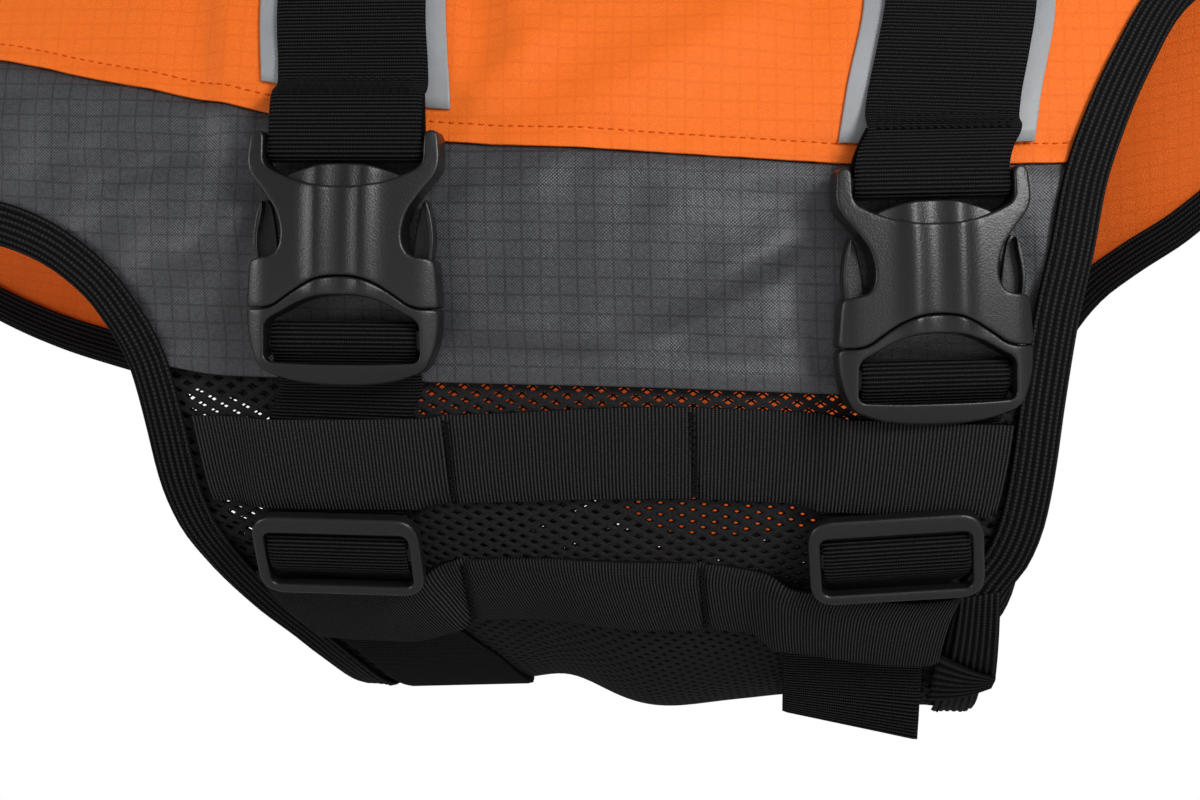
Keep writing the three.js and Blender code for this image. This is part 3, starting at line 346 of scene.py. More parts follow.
def curve(rows):
    """A smooth curve through (key, value) rows that never overshoots them."""
    keys, values = np.array(rows, float).T
    slopes = np.diff(values) / np.diff(keys)
    tangents = np.concatenate([slopes[:1], np.zeros(len(slopes) - 1), slopes[-1:]])
    for i in range(1, len(slopes)):
        before, after = slopes[i - 1], slopes[i]
        if before * after > 0:
            tangents[i] = 2 * before * after / (before + after)

    def at(key):
        i = np.clip(np.searchsorted(keys, key, side="right") - 1, 0, len(keys) - 2)
        span = keys[i + 1] - keys[i]
        t = np.clip((key - keys[i]) / span, 0, 1)
        rise = (2 * t**3 - 3 * t**2 + 1) * values[i] + (3 * t**2 - 2 * t**3) * values[i + 1]
        return rise + span * ((t**3 - 2 * t**2 + t) * tangents[i] + (t**3 - t**2) * tangents[i + 1])

    return at


half_width_at = curve(
    [(-320, 88), (-250, 102), (-160, 114), (-80, 118), (0, 116)]
    + [(80, 106), (120, 99), (180, 88), (240, 78), (290, 70)]
)
top_at = curve(
    [(-320, -6), (-250, -2), (-160, 0), (-80, 0), (0, 0), (80, 0), (120, 0), (180, 4), (240, 14), (290, 24)]
)
bottom_at = curve(
    [(-320, -190), (-250, -225), (-160, -258), (-80, -268), (0, -273)]
    + [(80, -277), (120, -278), (180, -268), (240, -235), (290, -200)]
)
rear_hem_at = curve(
    [(0, -300), (40, -299), (60, -295), (75, -288), (85, -279), (91, -268), (95, -256), (97.7, -240)]
    + [(99.4, -222)]
    + [(100.5, -197), (101.4, -176), (102.6, -160), (105, -147.4), (109.5, -135.6), (117, -126.4)]
    + [(124, -123.8), (132, -122.2), (138, -119.4), (144, -113.6), (152, -104.2), (160, -95)]
    + [(170, -89), (180, -87)]
)
BELLY_FRONT = [(117.8, 120), (126.6, 117.2), (133, 114.6), (138, 111), (144.5, 103.6), (155, 100), (180, 97)]
near_front_at = curve(
    [(0, 240), (25, 238), (42, 230), (54, 214), (62, 193), (67.5, 172), (72.8, 156), (79.8, 146)]
    + [(86, 138.8), (93.4, 132.2), (101, 128.2), (108.5, 123.8)]
    + BELLY_FRONT
)
far_front_at = curve(
    [(0, 240), (25, 239), (45, 235), (60, 226), (70, 214), (77, 197), (82.5, 178), (85.5, 162)]
    + [(88.3, 150)]
    + [(92, 141), (97, 133), (103, 128), (110, 124)]
    + BELLY_FRONT
)
back_seam_at = curve(
    [(-300, 77.5), (-200, 79.2), (-162, 80.5), (-132, 83.1), (-116, 84.3), (-84, 87.2), (-40, 90.3)]
    + [(7, 91.3), (37, 91.8), (70, 92.1), (119, 91.2), (150, 90.4)]
)
strap_line_at = {
    "rear": curve(
        [(0, -69), (73, -65), (88, -62.5), (104, -64), (118, -67), (133, -72), (144, -74)]
        + [(155, -64.5), (166, -55.5), (180, -52)]
    ),
    "front": curve(
        [(0, 103), (73, 95), (84, 90), (92, 87.2), (106, 85.4), (119, 84.4), (131, 76.5)]
        + [(144, 67.5), (155, 63), (180, 61)]
    ),
}
# Folds of the belly panel: x, angle, reach in x, reach in angle, height
BELLY_FOLDS = [(-48, 176, 16, 26, -1.2), (-23, 178, 14, 26, -4.6), (5, 178, 19, 28, 3.8)]
BELLY_FOLDS += [(48, 172, 13, 20, -2)]


def lerp(first, second, share):
    return first + (second - first) * share


def smoothstep(value, low, high):
    t = np.clip((value - low) / (high - low), 0, 1)
    return t * t * (3 - 2 * t)


def folded(angle):
    turned = np.mod(angle, 360)
    return np.where(turned > 180, 360 - turned, turned)


def hem_x(angle):
    return rear_hem_at(folded(angle)) + BINDING_OUTSTAND


def front_x(angle):
    far = np.mod(angle, 360) > 180
    return np.where(far, far_front_at(folded(angle)), near_front_at(folded(angle))) - BINDING_OUTSTAND


def strap_x(strap, angle):
    return strap_line_at[strap](folded(angle))


def unit(vectors):
    return vectors / np.linalg.norm(vectors, axis=-1, keepdims=True)


def torso_point(x, angle):
    x, angle = np.broadcast_arrays(np.asarray(x, float), np.asarray(angle, float))
    top = top_at(x) + BACK_THICKNESS
    bottom = bottom_at(x) + BACK_THICKNESS
    turn = np.radians(angle)
    height = (top + bottom) / 2 + (top - bottom) / 2 * np.cos(turn)
    return np.stack([x, -half_width_at(x) * np.sin(turn), height], axis=-1)


def surface_frame(x, angle):
    """Directions along the back and round the body, and the outward normal."""
    step = 0.5
    along = (torso_point(x + step, angle) - torso_point(x - step, angle)) / (2 * step)
    around = (torso_point(x, angle + step) - torso_point(x, angle - step)) / (2 * step)
    return along, around, unit(np.cross(around, along))


def relief(x, angle):
    bent = folded(angle)
    on_body = 1 - smoothstep(bent, 96, 112)
    height = 0 * bent
    for strap in ("rear", "front"):
        away = (x - strap_x(strap, angle)) / STRAP_VALLEY_WIDTH
        height = height - STRAP_VALLEY * on_body * np.exp(-(away**2))
    for fold_x, fold_angle, reach_x, reach_angle, fold_height in BELLY_FOLDS:
        from_fold = ((x - fold_x) / reach_x) ** 2 + ((bent - fold_angle) / reach_angle) ** 2
        height = height + fold_height * np.exp(-from_fold)
    return height


def surface_point(x, angle, lift):
    normal = surface_frame(x, angle)[2]
    return torso_point(x, angle) + normal * np.asarray(relief(x, angle) + lift)[..., None]


ARC_ANGLES = np.linspace(-260, 260, 1041)
arc_steps = np.linalg.norm(np.diff(torso_point(0.0, ARC_ANGLES), axis=0), axis=1)
arc_lengths = np.concatenate([[0], np.cumsum(arc_steps)])
arc_lengths -= np.interp(0, ARC_ANGLES, arc_lengths)


def cut_place(x, angle):
    """A place's coordinates on the flat cut, in millimetres."""
    return np.stack([x, np.interp(angle, ARC_ANGLES, arc_lengths)], axis=-1)


check = surface_point(np.array([0.0]), np.array([90.0]), np.array([0.0]))[0]
print("flank point at x 0:", check.round(1))

# %% [markdown]
# ## Laying a flat grid on the body
# A tailor starts from flat cloth, and so does this: the grid operator makes the flat piece, and its
# points are then moved onto the body. The flat places stay behind as the cut UV map.

# %% Laying a flat grid on the body
BODY_MIDDLE = Vector((0, 0, -0.13))


def laid_grid(columns, rows, shape):
    """A grid whose points go where shape puts their shares, with the flat cut kept in mm."""
    bm = bmesh.new()
    bmesh.ops.create_grid(bm, x_segments=columns, y_segments=rows, size=0.5)
    flat = np.array([vert.co[:2] for vert in bm.verts])
    shares = (flat - flat.min(0)) / (flat.max(0) - flat.min(0))
    move_points(bm, *shape(shares[:, 0], shares[:, 1]))
    return bm


def move_points(bm, points, cut):
    bm.verts.index_update()
    for vert, point in zip(bm.verts, points * MM):
        vert.co = point
    layer = bm.loops.layers.uv.verify()
    for face in bm.faces:
        face.smooth = True
        for loop in face.loops:
            loop[layer].uv = cut[loop.vert.index]


def face_outwards(bm):
    """Turns an open sheet over where it faces the inside of the body."""
    bm.normal_update()
    outward = 0.0
    for face in bm.faces:
        middle = face.calc_center_median()
        from_axis = Vector((0, middle.y, middle.z - BODY_MIDDLE.z))
        outward += face.normal.dot(from_axis) * face.calc_area()
    if outward < 0:
        bmesh.ops.reverse_faces(bm, faces=bm.faces)


def add_piece(name, bm, material, nodes, wall=0.0):
    """Puts a finished mesh in the scene, on the body, standing for its CAD nodes."""
    mesh = bpy.data.meshes.new(name)
    bm.to_mesh(mesh)
    bm.free()
    if mesh.uv_layers:
        mesh.uv_layers[0].name = "cut"
    mesh.materials.append(material)
    piece = bpy.data.objects.new(name, mesh)
    scene.collection.objects.link(piece)
    if wall:
        solid = piece.modifiers.new("wall", "SOLIDIFY")
        solid.thickness = wall * MM
        solid.offset = -1
    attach(piece, "root")
    if nodes:
        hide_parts(*nodes)
    print(name, len(mesh.polygons), "faces")
    return piece


print("middle of the body in mm:", [round(v / MM) for v in BODY_MIDDLE])

# %% [markdown]
# ## Back panel, side bands and lining
# The saddle is one orange piece over the spine, with a grey band sewn below it on each side. Foam
# fills them, so they thin out only at the bound edges. The seam between orange and grey is drawn in
# a little, with a topstitch above it, and the cloth puckers beside the straps that pull on it. The
# creases are soft troughs and ridges, none alike.

# %% Back panel, side bands and lining
edge_tree = kdtree.KDTree(2400)
edge_count = 0
for edge_angle in np.arange(-180, 180, 1.0):
    for edge_x in (hem_x(edge_angle), front_x(edge_angle)):
        edge_tree.insert(torso_point(float(edge_x), edge_angle), edge_count)
        edge_count += 1
for edge_x in np.arange(float(hem_x(BELLY_SEAM_ANGLE)), float(front_x(BELLY_SEAM_ANGLE)), 3.0):
    for side in (-1, 1):
        edge_tree.insert(torso_point(edge_x, side * BELLY_SEAM_ANGLE), edge_count)
        edge_count += 1
edge_tree.balance()


def fullness(x, angle):
    """From 0 at a bound edge to 1 where the foam is full."""
    distance = np.array([edge_tree.find(point)[2] for point in torso_point(x, angle)])
    return smoothstep(distance, EDGE_FLAT, EDGE_FLAT + EDGE_RISE)


CREASE_GAIN = 2.7
CREASE_MM_PER_DEGREE = 2.2
FAR_CREASE_SHIFT = 6.0
WRINKLE = 0.42
# Wrinkles below the seam: slant in mm to a degree, and wave length in mm
CROSSED_WRINKLES = ((1.5, 23), (-3.1, 61))
SECOND_WRINKLE = (4.4, 37)
SECOND_WRINKLE_SHARE = 0.6
# Creases: start x, start angle, end x, end angle, half width in mm, height in mm
CREASES = [
    (-118, 30, -104, 88, 9, -0.9),
    (-104, 52, -96, 90, 6, 0.8),
    (-36, 20, -32, 84, 8, -1.0),
    (-24, 48, -19, 80, 6, 0.7),
    (-38, 88, -8, 76, 6, 0.8),
    (-8, 88, 42, 75, 8, 1.0),
    (26, 40, 34, 70, 6, 0.6),
    (58, 30, 56, 78, 8, -0.8),
    (122, 42, 112, 86, 7, -0.9),
    (-150, 96, -100, 91, 6, -0.8),
    (-108, 104, -92, 97, 5, 0.9),
    (-47, 100, -10, 94, 5, 0.8),
    (53, 98, 51, 112, 6, -1.0),
    (-36, 111, 2, 113, 6, 0.8),
    (14, 113, 52, 104, 5, -0.8),
    (22, 108, 58, 99, 4, 0.6),
    (30, 97, 56, 95, 5, -0.5),
    (104, 96, 116, 112, 4, -0.7),
    (-220, 60, -180, 92, 10, -0.8),
    (-170, 20, -150, 70, 12, 0.7),
]


def slanted_ripple(x, bent, slant, length):
    return np.sin(2 * np.pi * (x + slant * bent) / length)


def creasing(x, angle):
    """Height of the listed creases, the same on the far side with some shift."""
    bent = folded(angle)
    shift = np.where(np.mod(angle, 360) > 180, FAR_CREASE_SHIFT, 0.0)
    height = 0 * bent
    for x0, a0, x1, a1, half_width, crease_height in CREASES:
        run = np.array([x1 - x0, (a1 - a0) * CREASE_MM_PER_DEGREE])
        away = np.stack([x - shift - x0, (bent - a0) * CREASE_MM_PER_DEGREE], axis=-1)
        share = away @ run / (run @ run)
        across = (away[..., 0] * run[1] - away[..., 1] * run[0]) / np.hypot(*run)
        ends = smoothstep(share, -0.25, 0.25) * (1 - smoothstep(share, 0.75, 1.25))
        height = height + CREASE_GAIN * crease_height * ends * np.exp(-((across / half_width) ** 2))
    below_seam = smoothstep(bent - back_seam_at(x), 0.5, 4)
    first, other = (slanted_ripple(x, bent, *row) for row in CROSSED_WRINKLES)
    second = SECOND_WRINKLE_SHARE * slanted_ripple(x, bent, *SECOND_WRINKLE)
    height = height + WRINKLE * below_seam * (first * other + second)
    for strap in ("rear", "front"):
        clear = smoothstep(np.abs(x - strap_x(strap, angle)), 24, 34)
        height = np.where(bent < 96, height * clear, height)
    return height * (1 - smoothstep(bent, BELLY_SEAM_ANGLE - 5, BELLY_SEAM_ANGLE - 1.2))


SEAM_DRAW = 1.0
SEAM_LIP = 0.45
STITCH_DRAW = 0.5
STITCH_ABOVE_SEAM = 2.2
SEAM_PUCKER = 0.25
PUCKER_LENGTHS = (9.7, 14.3)
BAND_LIP = 1.3
BAND_OVERLAP = 1.1


def sewing(x, angle):
    """How far the sewing lifts or draws the cloth: the orange edge is folded over the grey one, a
    topstitch runs above the seam, and the grey band's lower edge is folded over the mesh."""
    bent = folded(angle)
    above = back_seam_at(x) - bent
    lip = SEAM_LIP * (1 - smoothstep(above, 0.4, 1.8))
    stitch = STITCH_DRAW * np.exp(-(((above - STITCH_ABOVE_SEAM) / 0.4) ** 2))
    under = SEAM_DRAW * np.exp(-((above / 1.1) ** 2))
    ripple = sum(np.sin(2 * np.pi * x / length) for length in PUCKER_LENGTHS) / 2
    stitch = stitch + SEAM_PUCKER * ripple * np.exp(-(((above - 1.2) / 1.5) ** 2))
    edge = BAND_LIP * smoothstep(bent, BELLY_SEAM_ANGLE - 2.2, BELLY_SEAM_ANGLE - 0.4)
    return np.where(above > -0.02, lip - stitch, edge - under)


def back_place(share, seam_share):
    """Place at a share of the way from hem to front, seam_share running from -1 to 1 over the back."""
    low = np.full(np.shape(share), -310.0)
    high = np.full(np.shape(share), 250.0)
    for _ in range(32):
        middle = (low + high) / 2
        angle = seam_share * back_seam_at(middle)
        below = middle < lerp(hem_x(angle), front_x(angle), share)
        low = np.where(below, middle, low)
        high = np.where(below, high, middle)
    return low, seam_share * back_seam_at(low)


tip_angles = np.linspace(BAND_TIP_ANGLE, BELLY_SEAM_ANGLE, 241)
tip_steps = np.linalg.norm(np.diff(torso_point(hem_x(tip_angles), tip_angles), axis=0), axis=1)
tip_shares = np.concatenate([[0], np.cumsum(tip_steps)]) / tip_steps.sum()


def band_place(share, row_share, side):
    """Place on a side band, from the seam with the back to the belly seam and the hem's corner."""
    ones = np.ones_like(share)
    corner = HEM_CORNER_COLUMN / BODY_COLUMNS

    def lower(at):
        tip_angle = np.interp(at / corner, tip_shares, tip_angles)
        seam_x = lerp(
            hem_x(side * BELLY_SEAM_ANGLE), front_x(side * BELLY_SEAM_ANGLE), (at - corner) / (1 - corner)
        )
        seam_angle = BELLY_SEAM_ANGLE + BAND_OVERLAP * smoothstep(at - corner, 0.0, 0.06)
        before = at <= corner
        return np.where(before, hem_x(tip_angle), seam_x), side * np.where(before, tip_angle, seam_angle)

    def blend(at):
        upper_x, upper_angle = back_place(at, side * ones)
        lower_x, lower_angle = lower(at)
        return lerp(upper_x, lower_x, row_share), lerp(upper_angle, lower_angle, row_share)

    x, angle = blend(share)
    rear_x, rear_angle = blend(0 * ones)
    near_x, near_angle = blend(ones)
    x = x + (hem_x(rear_angle) - rear_x) * (1 - share) ** 4
    x = x + (front_x(near_angle) - near_x) * share**4
    return x, angle


def toward_seams(t):
    """Shares of a piece's rows, closer together near its two seams."""
    half = 1 - (1 - np.abs(2 * t - 1)) ** 1.7
    return (1 + np.sign(t - 0.5) * half) / 2


def outer_cloth(x, angle, below=0.0):
    """The outer face; below tells a band, just past the seam, from the back panel."""
    past_seam = angle + np.sign(angle) * below
    lift = -EDGE_DROP * (1 - fullness(x, angle)) + sewing(x, past_seam) + creasing(x, angle)
    return surface_point(x, angle, lift), cut_place(x, angle)


EDGE_THICKNESS = 3.0
LINING_RISE = 1.2
LINING_CREASE_SHARE = 0.3


def inner_cloth(x, angle):
    full = fullness(x, angle)
    lift = -EDGE_DROP * (1 - full) - lerp(EDGE_THICKNESS, BACK_THICKNESS, full) + LINING_RISE
    return surface_point(x, angle, lift + LINING_CREASE_SHARE * creasing(x, angle)), cut_place(x, angle)


CLOTH_WALL = 1.2


def add_cloth(name, columns, rows, shape, material, node, wall=CLOTH_WALL):
    bm = laid_grid(columns, rows, shape)
    face_outwards(bm)
    return add_piece(name, bm, material, [node], wall)


back_cloth = add_cloth(
    "back_cloth",
    184,
    124,
    lambda s, t: outer_cloth(*back_place(s, 2 * toward_seams(t) - 1)),
    orange_ripstop,
    "back_panel",
)
side_cloths = {}
for side_name, side in (("near", 1), ("far", -1)):
    side_cloths[side_name] = add_cloth(
        f"side_cloth_{side_name}",
        190,
        34,
        lambda s, t, side=side: outer_cloth(*band_place(s, toward_seams(t), side), below=0.03),
        grey_ripstop,
        f"side_band_{side_name}",
    )


LINING_BAND_SHARE = 0.16
# The far lining's lower part: its share of the rows, where it starts and ends, drop in degrees
FLAP_SHARE = 0.05
FLAP_REAR = (-22, -6)
FLAP_FRONT = (100, 114)
FLAP_ANGLES = (112, 115)
FLAP_OVERLAP = 0.3
FLAP_DROP = 7.2
FLAP_WAVINESS = 0.12
FLAP_WAVE_REACH = 9


def lining_place(s, t):
    """The lining runs over the back and both bands in one piece, belly seam to belly seam. On the far
    side its front part hangs lower, and shows through the mesh between the cross bands."""
    band_share = LINING_BAND_SHARE
    flap = np.clip(1 - t / FLAP_SHARE, 0, 1)
    t = np.clip((t - FLAP_SHARE) / (1 - FLAP_SHARE), 0, 1)
    far_x, far_angle = band_place(s, np.clip(1 - t / band_share, 0, 1), -1)
    near_x, near_angle = band_place(s, np.clip((t - 1 + band_share) / band_share, 0, 1), 1)
    middle = np.clip((t - band_share) / (1 - 2 * band_share), 0, 1)
    back_x, back_angle = back_place(s, 2 * middle - 1)
    in_far = t < band_share
    in_near = t > 1 - band_share
    x = np.where(in_far, far_x, np.where(in_near, near_x, back_x))
    angle = np.where(in_far, far_angle, np.where(in_near, near_angle, back_angle))
    reach = smoothstep(x, *FLAP_REAR) * (1 - smoothstep(x, *FLAP_FRONT)) * smoothstep(-angle, *FLAP_ANGLES)
    drop = FLAP_DROP * reach * (1 + FLAP_WAVINESS * np.sin(x / FLAP_WAVE_REACH))
    return x, angle - flap * (FLAP_OVERLAP + drop)


lining_cloth = add_cloth(
    "lining_cloth",
    120,
    84,
    lambda s, t: inner_cloth(*lining_place(s, t)),
    orange_lining,
    "lining",
    1.0,
)

# %% [markdown]
# ## Air mesh
# Air mesh is a knitted net of diamond holes. The holes are real here, so the orange lining of the far
# side shows through them where it does in life. A grid turned on its corner and squashed to the
# holes' pitch is trimmed to the cut piece, each diamond is inset, and its middle is taken out. A finer
# net of single yarns lies behind it, as in the real spacer cloth, and breaks each hole into specks.

# %% Air mesh
BELLY_WIDTH = 236.0
HOLE_SIZE = (5.9, 3.5)
HOLE_INSET = 0.72
INNER_HOLES = {"near": (2.95, 1.75), "far": (3.7, 2.2)}
INNER_INSETS = {"near": 0.26, "far": 0.5}
MESH_WALL = 1.3
MESH_LIFT = -EDGE_DROP
INNER_LIFT = MESH_LIFT - MESH_WALL - 0.3
MESH_PUCKER = 0.7
PUCKER_PITCH = 5.5
SEAM_SINK = 1.2


def belly_shape(flat, arc_share, width_share, lift):
    """Belly places from the flat cut: down round the belly, and along it from rear to front edge."""
    angle = BELLY_SEAM_ANGLE + (360 - 2 * BELLY_SEAM_ANGLE) * np.clip(arc_share, 0, 1)
    rear, front = hem_x(angle), front_x(angle)
    x = lerp(rear, front, np.clip(width_share, 0, 1))
    from_edge = np.minimum(x - rear, front - x)
    pucker = MESH_PUCKER * np.exp(-((from_edge / 14) ** 2)) * np.sin(2 * np.pi * flat[:, 1] / PUCKER_PITCH)
    from_seam = (180 - np.abs(angle - 180)) - BELLY_SEAM_ANGLE
    sunk = SEAM_SINK * (1 - smoothstep(from_seam, BAND_OVERLAP, BAND_OVERLAP + 2.5))
    return surface_point(x, angle, lift + pucker - sunk), flat


def add_net(name, hole_size, inset, lift, wall, reach, nodes):
    """A net of diamond holes over a share of the belly panel, from the near seam to the far one."""
    across, down = hole_size
    seam_arc, middle_arc = np.interp((BELLY_SEAM_ANGLE, 180), ARC_ANGLES, arc_lengths)
    length = 2 * float(middle_arc - seam_arc)
    cells = 2 * int(BELLY_WIDTH / 2 / across + length / 2 / down + 3)
    bm = bmesh.new()
    bmesh.ops.create_grid(bm, x_segments=cells, y_segments=cells, size=cells / 2)
    turned = Matrix.Diagonal((across / 2, down / 2, 1, 1)) @ Matrix(
        ((1, 1, 0, 0), (1, -1, 0, 0), (0, 0, -1, 0), (0, 0, 0, 1))
    )
    bmesh.ops.transform(bm, matrix=turned, verts=bm.verts)
    first, last = [(share - 0.5) * length for share in reach]
    trims = [((BELLY_WIDTH / 2, 0, 0), (1, 0, 0)), ((-BELLY_WIDTH / 2, 0, 0), (-1, 0, 0))]
    trims += [((0, last, 0), (0, 1, 0)), ((0, first, 0), (0, -1, 0))]
    for place, direction in trims:
        geometry = bm.verts[:] + bm.edges[:] + bm.faces[:]
        bmesh.ops.bisect_plane(bm, geom=geometry, plane_co=place, plane_no=direction, clear_outer=True)
    bmesh.ops.inset_individual(bm, faces=bm.faces, thickness=inset, use_even_offset=True)
    whole = 0.6 * (across - 2.4 * inset) * (down - 2.4 * inset) / 2
    holes = [face for face in bm.faces if is_hole(face, whole)]
    bmesh.ops.delete(bm, geom=holes, context="FACES")
    flat = np.array([vert.co[:2] for vert in bm.verts])
    move_points(bm, *belly_shape(flat, flat[:, 1] / length + 0.5, flat[:, 0] / BELLY_WIDTH + 0.5, lift))
    face_outwards(bm)
    print(name, "holes:", len(holes))
    return add_piece(name, bm, black_air_mesh, nodes, wall)


def is_hole(face, whole):
    """An inset middle has three edges at each corner, and is cut off by no trim."""
    return face.calc_area() > whole and all(len(vert.link_edges) == 3 for vert in face.verts)


belly_net = add_net("belly_net", HOLE_SIZE, HOLE_INSET, MESH_LIFT, MESH_WALL, (0, 1), ["belly_mesh"])
inner_nets = [
    add_net(f"inner_net_{side}", INNER_HOLES[side], INNER_INSETS[side], INNER_LIFT, 0.0, reach, [])
    for side, reach in (("near", (0, 0.5)), ("far", (0.5, 1)))
]

# %% [markdown]
# ## Webbing
# Girth straps are polyester webbing, woven with a cord-like rib across the strap every millimetre.
# A strap here is a flat grid with three rows to a rib, swept along the line that the strap takes. The
# line comes from stations on the body and on the hardware, joined smoothly.

# %% Webbing
WEBBING_WIDTH = 40.0
BELLY_STRAP_WIDTH = 38.0
NECK_STRAP_WIDTH = 36.0
WEBBING_WALL = 1.5
RIB_DEPTH = 0.5
ROWS_PER_RIB = 3
STRAP_COLUMNS = 8
SELVEDGE_DROP = 0.3
RESTING_SHARES = (-0.5, -0.35, -0.2, 0, 0.2, 0.35, 0.5)


def through(points, keys, at):
    """Values at the wanted keys on a smooth line through points."""
    points = np.array(points, float)
    slopes = np.gradient(points, keys, axis=0)
    i = np.clip(np.searchsorted(keys, at, side="right") - 1, 0, len(keys) - 2)
    span = (keys[i + 1] - keys[i])[:, None]
    t = (at - keys[i])[:, None] / span
    rise = (2 * t**3 - 3 * t**2 + 1) * points[i] + (3 * t**2 - 2 * t**3) * points[i + 1]
    return rise + span * ((t**3 - 2 * t**2 + t) * slopes[i] + (t**3 - t**2) * slopes[i + 1])


def lengths_along(points):
    steps = np.linalg.norm(np.diff(np.array(points), axis=0), axis=1)
    return np.concatenate([[0], np.cumsum(steps)])


def ribbed(place, pitch, depth):
    """Drop of a rib's surface at a place along the weave: 0 on a crest, depth in a valley."""
    return depth * (0.5 + 0.5 * np.cos(2 * np.pi * place / pitch))


def on_body(strap, angle, lift, tip=0.0):
    """A station where a strap lies on the body's highest fold under its width, or tips forward."""
    x = strap_x(strap, angle)
    along, _, normal = surface_frame(x, angle)
    heights = [relief(x + share * WEBBING_WIDTH, angle) for share in RESTING_SHARES]
    rest = max(float(h) for h in heights) - relief(x, angle)
    return surface_point(x, angle, rest + lift), unit(along - tip * normal), 0.0


def strap_grid(stations, width):
    points = np.array([station[0] for station in stations])
    crosswise = np.array([station[1] for station in stations])
    slants = np.array([[station[2]] for station in stations])
    keys = lengths_along(points)
    ribs = int(keys[-1] / RIB_PITCH)
    pitch = keys[-1] / ribs

    def shape(s, t):
        at = s * keys[-1]
        ahead = through(points, keys, np.minimum(at + 0.4, keys[-1]))
        behind = through(points, keys, np.maximum(at - 0.4, 0))
        tangent = unit(ahead - behind)
        across = unit(through(crosswise, keys, at))
        out = unit(np.cross(tangent, across))
        side = -np.cos(np.pi * t)
        drop = ribbed(at, pitch, RIB_DEPTH) + SELVEDGE_DROP * (np.abs(side) > 0.99)
        slant = np.interp(at, keys, slants[:, 0])
        point = through(points, keys, at) + across * (side * width / 2)[:, None]
        point += tangent * (side * slant)[:, None] + out * (WEBBING_WALL / 2 - drop)[:, None]
        return point, np.stack([side * width / 2, at * RIB_PITCH / pitch], axis=-1)

    return laid_grid(ribs * ROWS_PER_RIB, STRAP_COLUMNS, shape)


def add_strap(name, stations, width, node):
    bm = strap_grid(stations, width)
    return add_piece(name, bm, black_webbing, [node], WEBBING_WALL)


print("webbing:", RIB_PITCH, "mm a rib,", WEBBING_WALL, "mm thick")


# %% [markdown]
# ## Places of the buckles and sliders
# A buckle lies across its strap. Its own directions are across the strap, down the strap and out from
# the body, and it is bowed a little down the flank, as moulded buckles for harnesses are.

# %% Places of the buckles and sliders
BUCKLES = {
    "rear": {"x": -64, "angle": 103.6, "lift": 0.9, "lean": -2, "turn": 0},
    "front": {"x": 84.6, "angle": 106.2, "lift": 1.4, "lean": 0, "turn": -4},
}
SLIDERS = {
    "rear": {"x": -72.7, "angle": 138.8, "lift": 4.2, "lean": -1, "turn": 0},
    "front": {"x": 74.8, "angle": 136.2, "lift": 4.6, "lean": 1, "turn": 0},
}
BUCKLE_BOW = 1 / 440


def hardware_frame(place, bow):
    x, angle = float(place["x"]), float(place["angle"])
    along, around, normal = surface_frame(x, angle)
    across = unit(along - normal * (along @ normal))
    down = unit(around)
    across = unit(across - down * (across @ down))
    lean = np.array(Matrix.Rotation(math.radians(place["lean"]), 3, Vector(normal)))
    across, down = lean @ across, lean @ down
    turn = np.array(Matrix.Rotation(math.radians(place["turn"]), 3, Vector(down)))
    origin = surface_point(x, angle, place["lift"])
    return {"across": turn @ across, "down": down, "out": turn @ normal, "origin": origin, "bow": bow}


def hardware_point(at, u, v, w):
    """A point u across, v down and w out from a buckle's or slider's middle."""
    u, v, w = np.broadcast_arrays(np.asarray(u, float), np.asarray(v, float), np.asarray(w, float))
    out = w - at["bow"] * v * v
    sideways = u[..., None] * at["across"] + v[..., None] * at["down"]
    return at["origin"] + sideways + out[..., None] * at["out"]


buckle_frames = {strap: hardware_frame(place, BUCKLE_BOW) for strap, place in BUCKLES.items()}
slider_frames = {strap: hardware_frame(place, 0.0) for strap, place in SLIDERS.items()}
print("rear buckle middle:", buckle_frames["rear"]["origin"].round(1))

# %% [markdown]
# ## Upper girth straps
# Each upper strap runs over the back on its tape, then loops round the bar at the top of the buckle's
# socket and is sewn back on itself.

# %% Upper girth straps
LIFT_ON_TAPE = 2.35
LIFT_ON_MESH = -0.15
FAR_END_ANGLE = -129
ABOVE_BUCKLE = 21.7
LOOP_ROWS = [(-42, 6.8, 0.8), (-38, 8.2, 0.35), (-33, 8.6, 0.05)]
LOOP_RADIUS = 3.15
TOP_BAR_V, TOP_BAR_W = -28.2, 5.4
for loop_turn in (90, 54, 18, -18, -54, -90):
    turned = math.radians(loop_turn)
    loop_v = TOP_BAR_V + LOOP_RADIUS * math.cos(turned)
    LOOP_ROWS.append((loop_v, TOP_BAR_W + LOOP_RADIUS * math.sin(turned), 0))
LOOP_ROWS += [(-33, 2.9, 0.05), (-38, 3.8, 0.35), (-43, 4.6, 0.8)]

upper_straps, sideways_step = {}, {}
for strap in ("rear", "front"):
    place = buckle_frames[strap]
    last_angle = BUCKLES[strap]["angle"] - ABOVE_BUCKLE
    stations = [on_body(strap, a, LIFT_ON_TAPE) for a in np.linspace(FAR_END_ANGLE, last_angle, 40)]
    stations.append(on_body(strap, last_angle + 2.2, LIFT_ON_TAPE + 1.2))
    aside = float((stations[-1][0] - place["origin"]) @ place["across"])
    sideways_step[strap] = aside
    for v, w, drift in LOOP_ROWS:
        stations.append((hardware_point(place, aside * drift, v, w), place["across"], 0.0))
    upper_straps[strap] = add_strap(
        f"girth_strap_{strap}", stations, WEBBING_WIDTH, f"upper_strap_{strap}"
    )

# %% [markdown]
# ## Belly straps and the tail
# The belly strap turns over the bar of the buckle's insert, passes under the upper cross band and
# through the slider, and goes on under the belly. The spare end of the front one hangs free, cut on a
# slant and hot-sealed.

